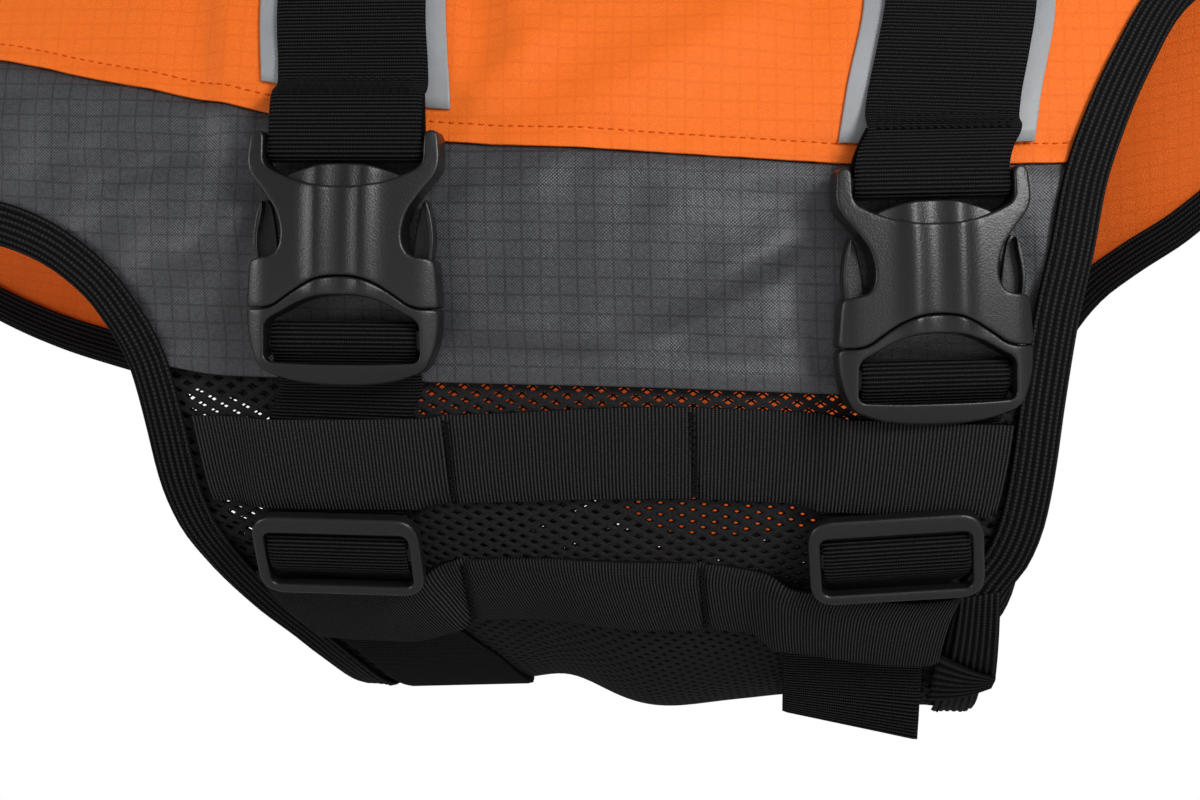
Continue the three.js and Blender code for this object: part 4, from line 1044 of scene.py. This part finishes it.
# %% Belly straps and the tail
LADDER_ROWS = [(28.2, 0.4), (24.2, 1.8), (18.6, 2.2), (16.9, 3.3), (16.9, 5.6), (18.4, 6.8), (23.4, 6.8)]
LADDER_ROWS += [(25.2, 5.6), (27.4, 3.7), (30.4, 1.4), (33.2, -0.8)]
SLIDER_ROWS = [(-11.4, -3.9, 0), (-8.8, -2.5, 0), (-3.6, 2.4, 0), (0, 2.8, 0), (3.6, 2.4, 0)]
SLIDER_ROWS += [(8.8, -2.5, 0.12), (11.4, -3.9, 0.6)]
BELOW_BUCKLE = 17.2
BESIDE_SLIDER = 7.86
BELLY_STRAP_END = 239
# Under the belly the rear strap sinks into the mesh's fold, its front edge deeper
SUNK_FROM, SUNK_LIFT, SUNK_TIP = (148, 168), 1.4, 0.08
TAIL_ROWS = [(146, 1.8, 0), (150, 1.8, 0), (154, 1.9, 0), (158, 2.6, 0)]
TAIL_ROWS += [(162, 5, 1), (165, 8, 3), (167.6, 10.2, 5)]

for strap in ("rear", "front"):
    place, slider_place = buckle_frames[strap], slider_frames[strap]
    stations = [(hardware_point(place, 0, v, w), place["across"], 0.0) for v, w in LADDER_ROWS]
    stations.append(on_body(strap, BUCKLES[strap]["angle"] + BELOW_BUCKLE, LIFT_ON_MESH))
    stations.append(on_body(strap, SLIDERS[strap]["angle"] - BESIDE_SLIDER, LIFT_ON_MESH))
    start = SLIDERS[strap]["angle"] + BESIDE_SLIDER
    beyond = []
    for angle in np.linspace(start, BELLY_STRAP_END, 17):
        sunk = smoothstep(angle, *SUNK_FROM) * (strap == "rear")
        beyond.append(on_body(strap, angle, LIFT_ON_MESH - SUNK_LIFT * sunk, SUNK_TIP * sunk))
    aside = float((beyond[0][0] - slider_place["origin"]) @ slider_place["across"])
    for v, w, drift in SLIDER_ROWS:
        stations.append((hardware_point(slider_place, aside * drift, v, w), slider_place["across"], 0.0))
    stations += beyond
    add_strap(
        f"belly_webbing_{strap}", stations, BELLY_STRAP_WIDTH, f"belly_strap_{strap}"
    )

tail_stations = []
for angle, lift, slant in TAIL_ROWS:
    point, across, _ = on_body("front", float(angle), lift)
    tail_stations.append((point, across, float(slant)))
tail = add_strap("strap_end_front", tail_stations, BELLY_STRAP_WIDTH, "strap_tail_front")

# %% [markdown]
# ## Neck strap
# Outside the photo: a plain webbing strap closes the neck in front of the chest. Its route is a guess.

# %% Neck strap
NECK_LIFT = 2.2
NECK_ROUTE = [(44, 196), (60, 206), (80, 220), (110, 234), (180, 244)]
NECK_ROUTE += [(250, 234), (280, 222), (300, 208), (316, 196)]
neck_x = curve(NECK_ROUTE)
neck_stations = []
for angle in np.linspace(NECK_ROUTE[0][0], NECK_ROUTE[-1][0], 45):
    x = neck_x(angle)
    neck_stations.append((surface_point(x, angle, NECK_LIFT), unit(surface_frame(x, angle)[0]), 0.0))
neck_band = add_strap("neck_webbing", neck_stations, NECK_STRAP_WIDTH, "neck_strap")

# %% [markdown]
# ## Reflective tapes
# A 50 mm tape is sewn under each girth strap and shows on both sides of it. It ends just above the
# seam with the grey band.

# %% Reflective tapes
TAPE_WIDTH = 50.0
TAPE_OUTER = 1.2
TAPE_WALL = 0.8
TAPE_END_ANGLE = 84
TAPE_CLEARANCE = {"rear": 3.6, "front": 2.2}
TAPE_EDGE_DROP = 0.25


def tape_shape(strap):
    def shape(s, t):
        across = -np.cos(np.pi * t) * TAPE_WIDTH / 2
        end = back_seam_at(strap_x(strap, TAPE_END_ANGLE) + across) - TAPE_CLEARANCE[strap]
        angle = (2 * s - 1) * end
        x = strap_x(strap, angle) + across
        outer = TAPE_OUTER - TAPE_EDGE_DROP * (np.abs(across) > TAPE_WIDTH / 2 - 0.5)
        return surface_point(x, angle, outer), cut_place(x, angle)

    return shape


tapes = {
    strap: add_cloth(
        f"glass_tape_{strap}",
        110,
        16,
        tape_shape(strap),
        reflective_tape,
        f"reflective_tape_{strap}",
        TAPE_WALL,
    )
    for strap in ("rear", "front")
}

# %% [markdown]
# ## Cross bands
# Two lengths of 25 mm band run along the mesh as channels that keep the belly straps in place. They
# rise over each strap and are tacked down with a zigzag between. Their ribs stand across the band.

# %% Cross bands
BAND_WALL = 1.2
BAND_GAP = 0.6
BAND_RIB_DEPTH = 0.32
BINDING_REACH = 11.4
CHANNEL_SLOPE = 8.4
TACKS = (-41.0, 23.5)
TACK_DRAW = 0.9
CROSS_BANDS = {
    "upper": {
        "top": [(-110, 122.6), (-40, 121.3), (24, 119.6), (106, 119.8)],
        "width": 11.2,
        "rear": (3.4, 3.9),
        "front": (7.3, 5.0),
    },
    "lower": {
        "top": [(-106, 144.2), (-60, 144.4), (-42, 141.4), (23, 140.2), (50, 142.2), (78, 143.4), (102, 141)],
        "width": 11.4,
        "rear": (4.0, 4.0),
        "front": (5.6, 5.9),
    },
}


def band_lift(band, x, angle, share):
    """Lift of a band's outer face: low on the mesh, raised over each strap, drawn in at the tacks."""
    lift = np.full(np.shape(x), -EDGE_DROP + BAND_GAP)
    for strap in ("rear", "front"):
        height = lerp(*band[strap], share) - BAND_GAP
        away = np.abs(x - strap_x(strap, angle)) - WEBBING_WIDTH / 2 - BAND_GAP
        lift = lift + height * (1 - smoothstep(away, 0, CHANNEL_SLOPE))
    for tack in TACKS:
        lift = lift - TACK_DRAW * np.exp(-(((x - tack) / 1.2) ** 2))
    return lift + BAND_WALL


def band_point(level, x, share, extra=0.0):
    band = CROSS_BANDS[level]
    angle = curve(band["top"])(x) + share * band["width"]
    return surface_point(x, angle, band_lift(band, x, angle, share) + extra)


BAND_RIBS = 222


def cross_band_shape(level):
    band = CROSS_BANDS[level]

    def shape(s, t):
        rear = hem_x(band["top"][0][1] + t * band["width"]) + BINDING_REACH
        front = front_x(band["top"][-1][1] + t * band["width"]) - BINDING_REACH
        x = lerp(rear, front, s)
        edge = 0.25 * (np.abs(t - 0.5) > 0.49)
        rib = s * BAND_RIBS
        point = band_point(level, x, t, -ribbed(rib, 1, BAND_RIB_DEPTH) - edge)
        return point, np.stack([rib * BAND_RIB, t * 25], axis=-1)

    return shape


cross_bands = {
    level: add_cloth(
        f"channel_band_{level}",
        BAND_RIBS * ROWS_PER_RIB,
        8,
        cross_band_shape(level),
        black_band,
        f"cross_band_{level}",
        BAND_WALL,
    )
    for level in CROSS_BANDS
}

# %% [markdown]
# ## Elastic bindings
# Knitted elastic is folded over the hem and the front edge. Its ribs run along its length. The section
# below is one open line, from the outer flap's edge round the fold to the inner flap's edge, and it is
# swept round the whole edge as a closed loop.

# %% Elastic bindings
BINDING_WALL = 1.0
BINDING_RIB_DEPTH = 0.5
BINDING_STEP = 4.0
# Distance in from the edge and lift, round the section
BINDING_LINE = [(9.4, 0.7), (4, 0.62), (-1, 0.3), (-2.7, -0.9), (-3, -3.1)]
BINDING_LINE += [(-2.7, -5.4), (-1, -6.7), (4, -7.1), (9.4, -7.3)]


def binding_section():
    """Points round the section with the ribs cut in, three to a rib."""
    keys = lengths_along(BINDING_LINE)
    ribs = int(keys[-1] / BINDING_RIB)
    at = np.linspace(0, keys[-1], ribs * ROWS_PER_RIB + 1)
    points = through(BINDING_LINE, keys, at)
    ahead = np.gradient(points, axis=0)
    outward = unit(np.stack([-ahead[:, 1], ahead[:, 0]], axis=-1))
    if outward[0, 1] < 0:
        outward = -outward
    rib = at / keys[-1] * ribs
    return points - outward * ribbed(rib, 1, BINDING_RIB_DEPTH)[:, None], rib * BINDING_RIB


def edge_loop(edge_x, inward_x):
    """Even places round an edge, with the direction into the cloth at each."""
    angles = np.linspace(-180, 180, 1441)
    fine = lengths_along(torso_point(edge_x(angles), angles))
    count = int(fine[-1] / BINDING_STEP)
    angle = np.interp(np.arange(count) / count * fine[-1], fine, angles)
    x = edge_x(angle)
    points = torso_point(x, angle)
    tangent = unit(np.roll(points, -3, axis=0) - np.roll(points, 3, axis=0))
    inward = unit(np.cross(surface_frame(x, angle)[2], tangent))
    inward = inward * np.sign(inward[:, :1] * inward_x)
    return x, angle, inward


def shifted(x, angle, direction, distance):
    """The place at a distance from another, in a direction along the surface."""
    along, around, _ = surface_frame(x, angle)
    along_share = (direction * along).sum(-1) / (along * along).sum(-1)
    around_share = (direction * around).sum(-1) / (around * around).sum(-1)
    return x + distance * along_share, angle + distance * around_share


def add_binding(name, edge_x, inward_x, node):
    x, angle, inward = edge_loop(edge_x, inward_x)
    section, section_at = binding_section()
    count = len(x)

    def shape(s, t):
        ring = np.round(s * count).astype(int)
        i = ring % count
        j = np.round(t * (len(section) - 1)).astype(int)
        at_x, at_angle = shifted(x[i], angle[i], inward[i], section[j, 0])
        point = surface_point(at_x, at_angle, section[j, 1])
        return point, np.stack([ring * BINDING_STEP, section_at[j]], axis=-1)

    bm = laid_grid(count, len(section) - 1, shape)
    bmesh.ops.remove_doubles(bm, verts=bm.verts, dist=0.005 * MM)
    bmesh.ops.recalc_face_normals(bm, faces=bm.faces)
    core_x, core_angle = shifted(x, angle, inward, 3.0)
    face_away(bm, surface_point(core_x, core_angle, -3.3) * MM)
    return add_piece(name, bm, black_elastic, [node], BINDING_WALL)


def face_away(bm, cores):
    """Turns an open sheet over where its faces look at the core that it wraps."""
    tree = kdtree.KDTree(len(cores))
    for i, core in enumerate(cores):
        tree.insert(core, i)
    tree.balance()
    bm.normal_update()
    outward = 0.0
    for face in bm.faces:
        middle = face.calc_center_median()
        outward += face.normal.dot(middle - tree.find(middle)[0]) * face.calc_area()
    if outward < 0:
        bmesh.ops.reverse_faces(bm, faces=bm.faces)


bindings = {
    "rear": add_binding("edge_elastic_rear", hem_x, 1, "binding_rear"),
    "front": add_binding("edge_elastic_front", front_x, -1, "binding_front"),
}

# %% [markdown]
# ## Elastic turned under
# At the belly's front corner the end of the elastic runs on past the lower band and is folded under:
# a short upright run, and a flap turned back across it on the slant.

# %% Elastic turned under
TURNED_RIBS = 7
TURNED_ROWS = 14
TURNED_LENGTH = 36
TURNED_PUFF = 1.1
# Corners as x, angle and lift: at the start and the end of the run, on one edge and then the other
TURNED_RUN = [(91.6, 143.8, 1.6), (102.6, 142.6, 1.3), (88.9, 157.0, 1.6), (101.8, 161.6, 1.6)]
TURNED_FLAP = [(86.0, 153.6, 3.2), (83.0, 167.6, 2.6), (101.8, 159.2, 3.0), (100.8, 162.6, 2.4)]


def add_turned(name, corners):
    start, start_side, end, end_side = (np.array(corner) for corner in corners)
    columns = TURNED_RIBS * ROWS_PER_RIB

    def shape(s, t):
        s, t = s[:, None], t[:, None]
        x, angle, lift = lerp(lerp(start, start_side, t), lerp(end, end_side, t), s).T
        puff = TURNED_PUFF * np.sin(np.pi * s[:, 0]) * (0.5 + 0.5 * t[:, 0])
        point = surface_point(x, angle, lift + puff - ribbed(t[:, 0] * TURNED_RIBS, 1, BINDING_RIB_DEPTH))
        return point, np.stack([s[:, 0] * TURNED_LENGTH, t[:, 0] * TURNED_RIBS * BINDING_RIB], axis=-1)

    bm = laid_grid(TURNED_ROWS, columns, shape)
    face_outwards(bm)
    return add_piece(name, bm, black_elastic, [], BINDING_WALL)


turned_pieces = [add_turned("turned_run", TURNED_RUN), add_turned("turned_flap", TURNED_FLAP)]

# %% [markdown]
# ## Moulded plates
# Buckles and sliders are injection moulded from acetal, from the same few steps: an outline is
# extruded and its front rim is rounded by stepping inwards and up. A buckle's plates are then sliced
# into small faces so that they can be crowned, ridged and bowed.

# %% Moulded plates
RIM_STEPS = 4
SLICE = 2.0


def rounded(outline, cut=1.2, rounds=2):
    """An outline with its corners cut off, and the new corners cut again by half as much."""
    points = [np.array(point[:2], float) for point in outline]
    cuts = [point[2] if len(point) > 2 else cut for point in outline]
    for _ in range(rounds):
        softer, halved = [], []
        for i, point in enumerate(points):
            for other in (points[i - 1], points[(i + 1) % len(points)]):
                reach = np.linalg.norm(other - point)
                softer.append(point + (other - point) * min(0.25, cuts[i] / reach))
                halved.append(cuts[i] / 2)
        points, cuts = softer, halved
    return points


def mirrored(half):
    return [*half, *[(-point[0], *point[1:]) for point in reversed(half)]]


def add_plate(bm, outline, low, high, rim, hole=None):
    """Adds a plate between two heights, with a rounded front rim, and a hole if one is given."""
    edges, seeds = [], []
    for loop in [outline] + ([hole] if hole else []):
        made = bmesh.ops.create_circle(bm, segments=len(loop), radius=1, cap_ends=hole is None)
        for vert, (u, v) in zip(made["verts"], loop):
            vert.co = (u, v, low)
        edges += list({edge for vert in made["verts"] for edge in vert.link_edges})
        seeds += list({face for vert in made["verts"] for face in vert.link_faces})
    if hole:
        filled = bmesh.ops.triangle_fill(bm, use_beauty=True, edges=edges)["geom"]
        seeds = [item for item in filled if isinstance(item, bmesh.types.BMFace)]
    for face in seeds:
        face.normal_update()
        if face.normal.z < 0:
            face.normal_flip()
    grown = bmesh.ops.extrude_face_region(bm, geom=seeds)["geom"]
    raised = [item for item in grown if isinstance(item, bmesh.types.BMVert)]
    bmesh.ops.translate(bm, verts=raised, vec=(0, 0, high - low - rim))
    front = [item for item in grown if isinstance(item, bmesh.types.BMFace)]
    bm.normal_update()
    turns = np.linspace(0, math.pi / 2, RIM_STEPS + 1)
    for before, after in zip(turns[:-1], turns[1:]):
        bmesh.ops.inset_region(
            bm,
            faces=front,
            thickness=rim * (math.cos(before) - math.cos(after)),
            depth=rim * (math.sin(after) - math.sin(before)),
            use_boundary=True,
            use_even_offset=True,
        )


def add_bar(bm, u, v0, v1, w0, w1):
    """Adds a bar across, softened along its length."""
    size = Matrix.Diagonal((2 * u, v1 - v0, w1 - w0, 1))
    place = Matrix.Translation((0, (v0 + v1) / 2, (w0 + w1) / 2)) @ size
    made = bmesh.ops.create_cube(bm, size=1, matrix=place)
    edges = list({edge for vert in made["verts"] for edge in vert.link_edges})
    bmesh.ops.bevel(bm, geom=edges, offset=0.5, segments=2, profile=0.5, affect="EDGES", material=-1)


def slice_up(bm, reach_u, reach_v, step_u, step_v):
    ways = ((reach_u, step_u, Vector((1, 0, 0))), (reach_v, step_v, Vector((0, 1, 0))))
    for reach, step, direction in ways:
        for at in np.arange(-reach + step / 2, reach, step):
            geometry = bm.verts[:] + bm.edges[:] + bm.faces[:]
            bmesh.ops.bisect_plane(bm, geom=geometry, plane_co=direction * at, plane_no=direction, dist=1e-4)


SHARP_EDGE = math.radians(42)


def finish_moulding(name, bm, at, node, shaped):
    """Shapes a sliced moulding, takes it to its place and adds it to the scene."""
    places = np.array([vert.co[:] for vert in bm.verts])
    u, v, w = shaped(*places.T)
    for vert, point in zip(bm.verts, hardware_point(at, u, v, w) * MM):
        vert.co = point
    bmesh.ops.remove_doubles(bm, verts=bm.verts, dist=0.002 * MM)
    bmesh.ops.recalc_face_normals(bm, faces=bm.faces)
    for face in bm.faces:
        face.smooth = True
    for edge in bm.edges:
        edge.smooth = len(edge.link_faces) != 2 or edge.calc_face_angle(0) < SHARP_EDGE
    return add_piece(name, bm, black_acetal, [node])


# %% [markdown]
# ## Side-release buckles
# The socket has a waist, where the prongs' curved springs show in the windows, flared ears beside the
# strap, and two soft ridges down its face that go on over the insert. The split between the halves
# arches up in the middle. The insert's foot is a thin crescent over the webbing.

# %% Side-release buckles
SOCKET_HALF = [
    (5, -18.2), (12, -19.6), (18, -22), (20.8, -24), (20.9, -32.6), (24.4, -32.6), (25.2, -25),
    (24.4, -21.4), (20.6, -17), (17, -12), (15.7, -7), (16, -3), (17.8, -0.4), (23.4, 0.4, 1.1),
    (24.4, 1.6, 1.1), (25.4, 12.9, 0.9), (18.6, 12.9, 1.6), (14, 9.6), (9, 6.4), (4, 4.6, 3),
]
INSERT_HALF = [
    (4, 4.9, 3), (9, 6.7), (14, 9.9), (18.5, 13.2, 1.6), (25.4, 13.2, 0.9), (25, 20), (23.6, 25), (21.4, 29),
    (14, 31.8), (6, 33, 3),
]
SLOT_HALF = [(5, 9.6, 3), (11, 11.4), (16.5, 14.4), (20.2, 16.4), (20.4, 26.8), (10, 27.4, 3)]
CREST_HALF = [(5, -24.1, 3), (11, -22.6, 3), (16, -20.6), (17, -16)]
PRONG = [
    (17.4, 14), (17.4, 2), (17.8, -3), (18.6, -9), (19.6, -13.6), (21.2, -15.6), (22.6, -12), (23.6, -6),
    (23.4, -1), (22.4, 2), (22.4, 14),
]
SPRING = [
    (21.2, -15.4), (22.6, -12), (23.6, -6), (23.4, -1), (22.9, 1.6), (21.9, 1.6), (22.4, -1), (22.5, -6),
    (21.4, -11.4),
]
SOCKET_BACK, SOCKET_FRONT, BUCKLE_RIM = 1.0, 11.4, 0.75
INSERT_BACK, INSERT_FRONT = 1.6, 11.3
RIDGE_U, RIDGE_REACH, RIDGE_HEIGHT = 5.9, 3.2, 1.7
FACE_CROWN = 1 / 420
SIDE_START, SIDE_END, SIDE_FALL = 19.5, 25.6, 2.2
FOOT_START = 26.0
FOOT_UNDERCUT_U, FOOT_UNDERSIDE = 20.6, 5.9


def crowned(u, v, w):
    """The face's shape: crowned across, with two ridges, and falling away over the foot."""
    on_face = np.clip((w - 5) / 5, 0, 1)
    ridges = RIDGE_HEIGHT * np.exp(-(((np.abs(u) - RIDGE_U) / RIDGE_REACH) ** 2)) * (1 - smoothstep(v, 8, 14))
    foot = 0.12 * np.maximum(v - FOOT_START, 0) ** 1.8
    below_waist = smoothstep(v, -3, 1)
    side = SIDE_FALL * below_waist * (np.clip((np.abs(u) - SIDE_START) / (SIDE_END - SIDE_START), 0, 1) ** 2)
    raised = w + on_face * (ridges - FACE_CROWN * u * u - foot - side)
    under = (v > FOOT_START - 0.5) & (np.abs(u) < FOOT_UNDERCUT_U) & (w < FOOT_UNDERSIDE)
    return u, v, np.where(under, FOOT_UNDERSIDE, raised)


def both_sides(outline):
    return [rounded([(side * point[0], *point[1:]) for point in outline]) for side in (-1, 1)]


buckle_sockets, buckle_inserts = {}, {}
for strap in ("rear", "front"):
    bm = bmesh.new()
    add_plate(bm, rounded(mirrored(SOCKET_HALF)), SOCKET_BACK, SOCKET_FRONT, BUCKLE_RIM)
    add_plate(bm, rounded(mirrored(CREST_HALF)), 3.0, 9.4, 0.6)
    slice_up(bm, 26, 34, 1.3, 2.0)
    turned = Matrix.Translation((0, TOP_BAR_V, TOP_BAR_W)) @ Matrix.Rotation(math.pi / 2, 4, "Y")
    bmesh.ops.create_cone(bm, segments=20, radius1=2, radius2=2, depth=45.6, cap_ends=True, matrix=turned)
    buckle_sockets[strap] = finish_moulding(
        f"socket_{strap}", bm, buckle_frames[strap], f"buckle_socket_{strap}", crowned
    )
    bm = bmesh.new()
    slot = rounded(mirrored(SLOT_HALF))
    add_plate(bm, rounded(mirrored(INSERT_HALF)), INSERT_BACK, INSERT_FRONT, BUCKLE_RIM, slot)
    for outline in both_sides(PRONG):
        add_plate(bm, outline, 2.6, 4.4, 0.4)
    for outline in both_sides(SPRING):
        add_plate(bm, outline, 3.4, 8.8, 0.35)
    slice_up(bm, 26, 34, 1.3, 2.0)
    add_bar(bm, 21, 18.4, 23.8, 3.6, 5.4)
    buckle_inserts[strap] = finish_moulding(
        f"insert_{strap}", bm, buckle_frames[strap], f"buckle_insert_{strap}", crowned
    )

# %% [markdown]
# ## Sliders
# A flat frame with rounded rails and a middle bar that grips the webbing.

# %% Sliders
SLIDER_HALF_WIDTH, SLIDER_HALF_HEIGHT = 22.8, 12.8
SIDE_RAIL, TOP_RAIL, LOWER_RAIL = 3.1, 5.2, 3.0


def rectangle(half_width, top, bottom, corner):
    corners = [(half_width, bottom), (-half_width, bottom), (-half_width, top), (half_width, top)]
    return rounded([(u, v, corner) for u, v in corners], rounds=4)


for strap in ("rear", "front"):
    bm = bmesh.new()
    low, high = -SLIDER_HALF_HEIGHT, SLIDER_HALF_HEIGHT
    hole = rectangle(SLIDER_HALF_WIDTH - SIDE_RAIL, low + TOP_RAIL, high - LOWER_RAIL, 1.3)
    add_plate(bm, rectangle(SLIDER_HALF_WIDTH, low, high, 3.6), 0, 3.2, 0.9, hole)
    add_bar(bm, 20.8, -2.4, 2.4, 0.2, 1.3)
    finish_moulding(
        f"adjuster_{strap}", bm, slider_frames[strap], f"slider_{strap}", lambda u, v, w: (u, v, w)
    )

# %% [markdown]
# ## Stitching
# Lockstitch lines are rows of small thread capsules: above the seam in orange, round the bindings in
# black, across the straps where they are sewn to the buckles, and in a zigzag on the cross bands.

# %% Stitching
THREAD_RADIUS = 0.28


def add_stitches(name, runs, material, radius=THREAD_RADIUS):
    """Adds a capsule from start to end for each stitch of each run, in mm."""
    bm = bmesh.new()
    for start, end in runs:
        reach = Vector(end - start)
        turned = reach.to_track_quat("X", "Z").to_matrix().to_4x4()
        size = Matrix.Diagonal((reach.length / 2 * MM, radius * MM, radius * MM, 1))
        place = Matrix.Translation(Vector((start + end) / 2) * MM) @ turned @ size
        bmesh.ops.create_uvsphere(bm, u_segments=6, v_segments=5, radius=1, matrix=place)
    for face in bm.faces:
        face.smooth = True
    layer = bm.loops.layers.uv.verify()
    for face in bm.faces:
        for loop in face.loops:
            loop[layer].uv = (loop.vert.co.x / MM, loop.vert.co.z / MM)
    return add_piece(name, bm, material, [])


def pairs_along(points, share):
    """Stitches between points in a row, each covering a share of its step."""
    gap = (1 - share) / 2
    return [(lerp(a, b, gap), lerp(a, b, 1 - gap)) for a, b in zip(points[:-1], points[1:])]


TOPSTITCH_PITCH = 2.6
top_runs = []
for side in (-1, 1):
    stitch_x = np.arange(-288, 146, TOPSTITCH_PITCH)
    stitch_angle = side * (back_seam_at(stitch_x) - STITCH_ABOVE_SEAM)
    inside = (stitch_x > hem_x(stitch_angle) + 9) & (stitch_x < front_x(stitch_angle) - 9)
    top_points = outer_cloth(stitch_x[inside], stitch_angle[inside])[0]
    top_points += surface_frame(stitch_x[inside], stitch_angle[inside])[2] * 0.05
    top_runs += pairs_along(top_points, 0.72)
topstitch = add_stitches("topstitch", top_runs, orange_thread)

binding_runs = []
for edge_x, inward_x in ((hem_x, 1), (front_x, -1)):
    x, angle, inward = edge_loop(edge_x, inward_x)
    at_x, at_angle = shifted(x, angle, inward, 7.7)
    line = surface_point(at_x, at_angle, 0.62)
    binding_runs += pairs_along(np.concatenate([line, line[:1]]), 0.7)
binding_stitch = add_stitches("binding_stitch", binding_runs, black_thread)

STRAP_STITCH_ROWS = (-46.2, -44.6, -43.0)
strap_runs = []
for strap in ("rear", "front"):
    place = buckle_frames[strap]
    for row, v in enumerate(STRAP_STITCH_ROWS):
        across = np.arange(-18.5, 17.5, 2.1) + 0.7 * (row % 2) + 0.9 * sideways_step[strap]
        lift = 7.6 + (v + 42) * 0.05
        strap_runs += pairs_along(hardware_point(place, across, v, lift), 0.7)
strap_stitch = add_stitches("strap_stitch", strap_runs, black_thread, 0.36)

tack_runs = []
for level in CROSS_BANDS:
    for tack in TACKS:
        shares = np.linspace(0.04, 0.96, 25)
        swing = tack + 0.9 * np.where(np.arange(25) % 2, 1, -1)
        tack_runs += pairs_along(band_point(level, swing, shares, 0.1), 0.96)
band_tacks = add_stitches("band_tacks", tack_runs, black_thread, 0.3)

# %% [markdown]
# ## Cut maps of the cloth
# Each sheet's cut map is read into an array, in metres.

# %% Cut maps of the cloth
def declare(piece):
    mesh = piece.data
    mesh.calc_loop_triangles()
    cut = np.empty(len(mesh.loops) * 2)
    mesh.uv_layers["cut"].data.foreach_get("uv", cut)
    cut = cut.reshape(-1, 2) * MM


declare(
    back_cloth,
)
for side_cloth in side_cloths.values():
    declare(side_cloth)
declare(lining_cloth)
declare(
    belly_net,
)
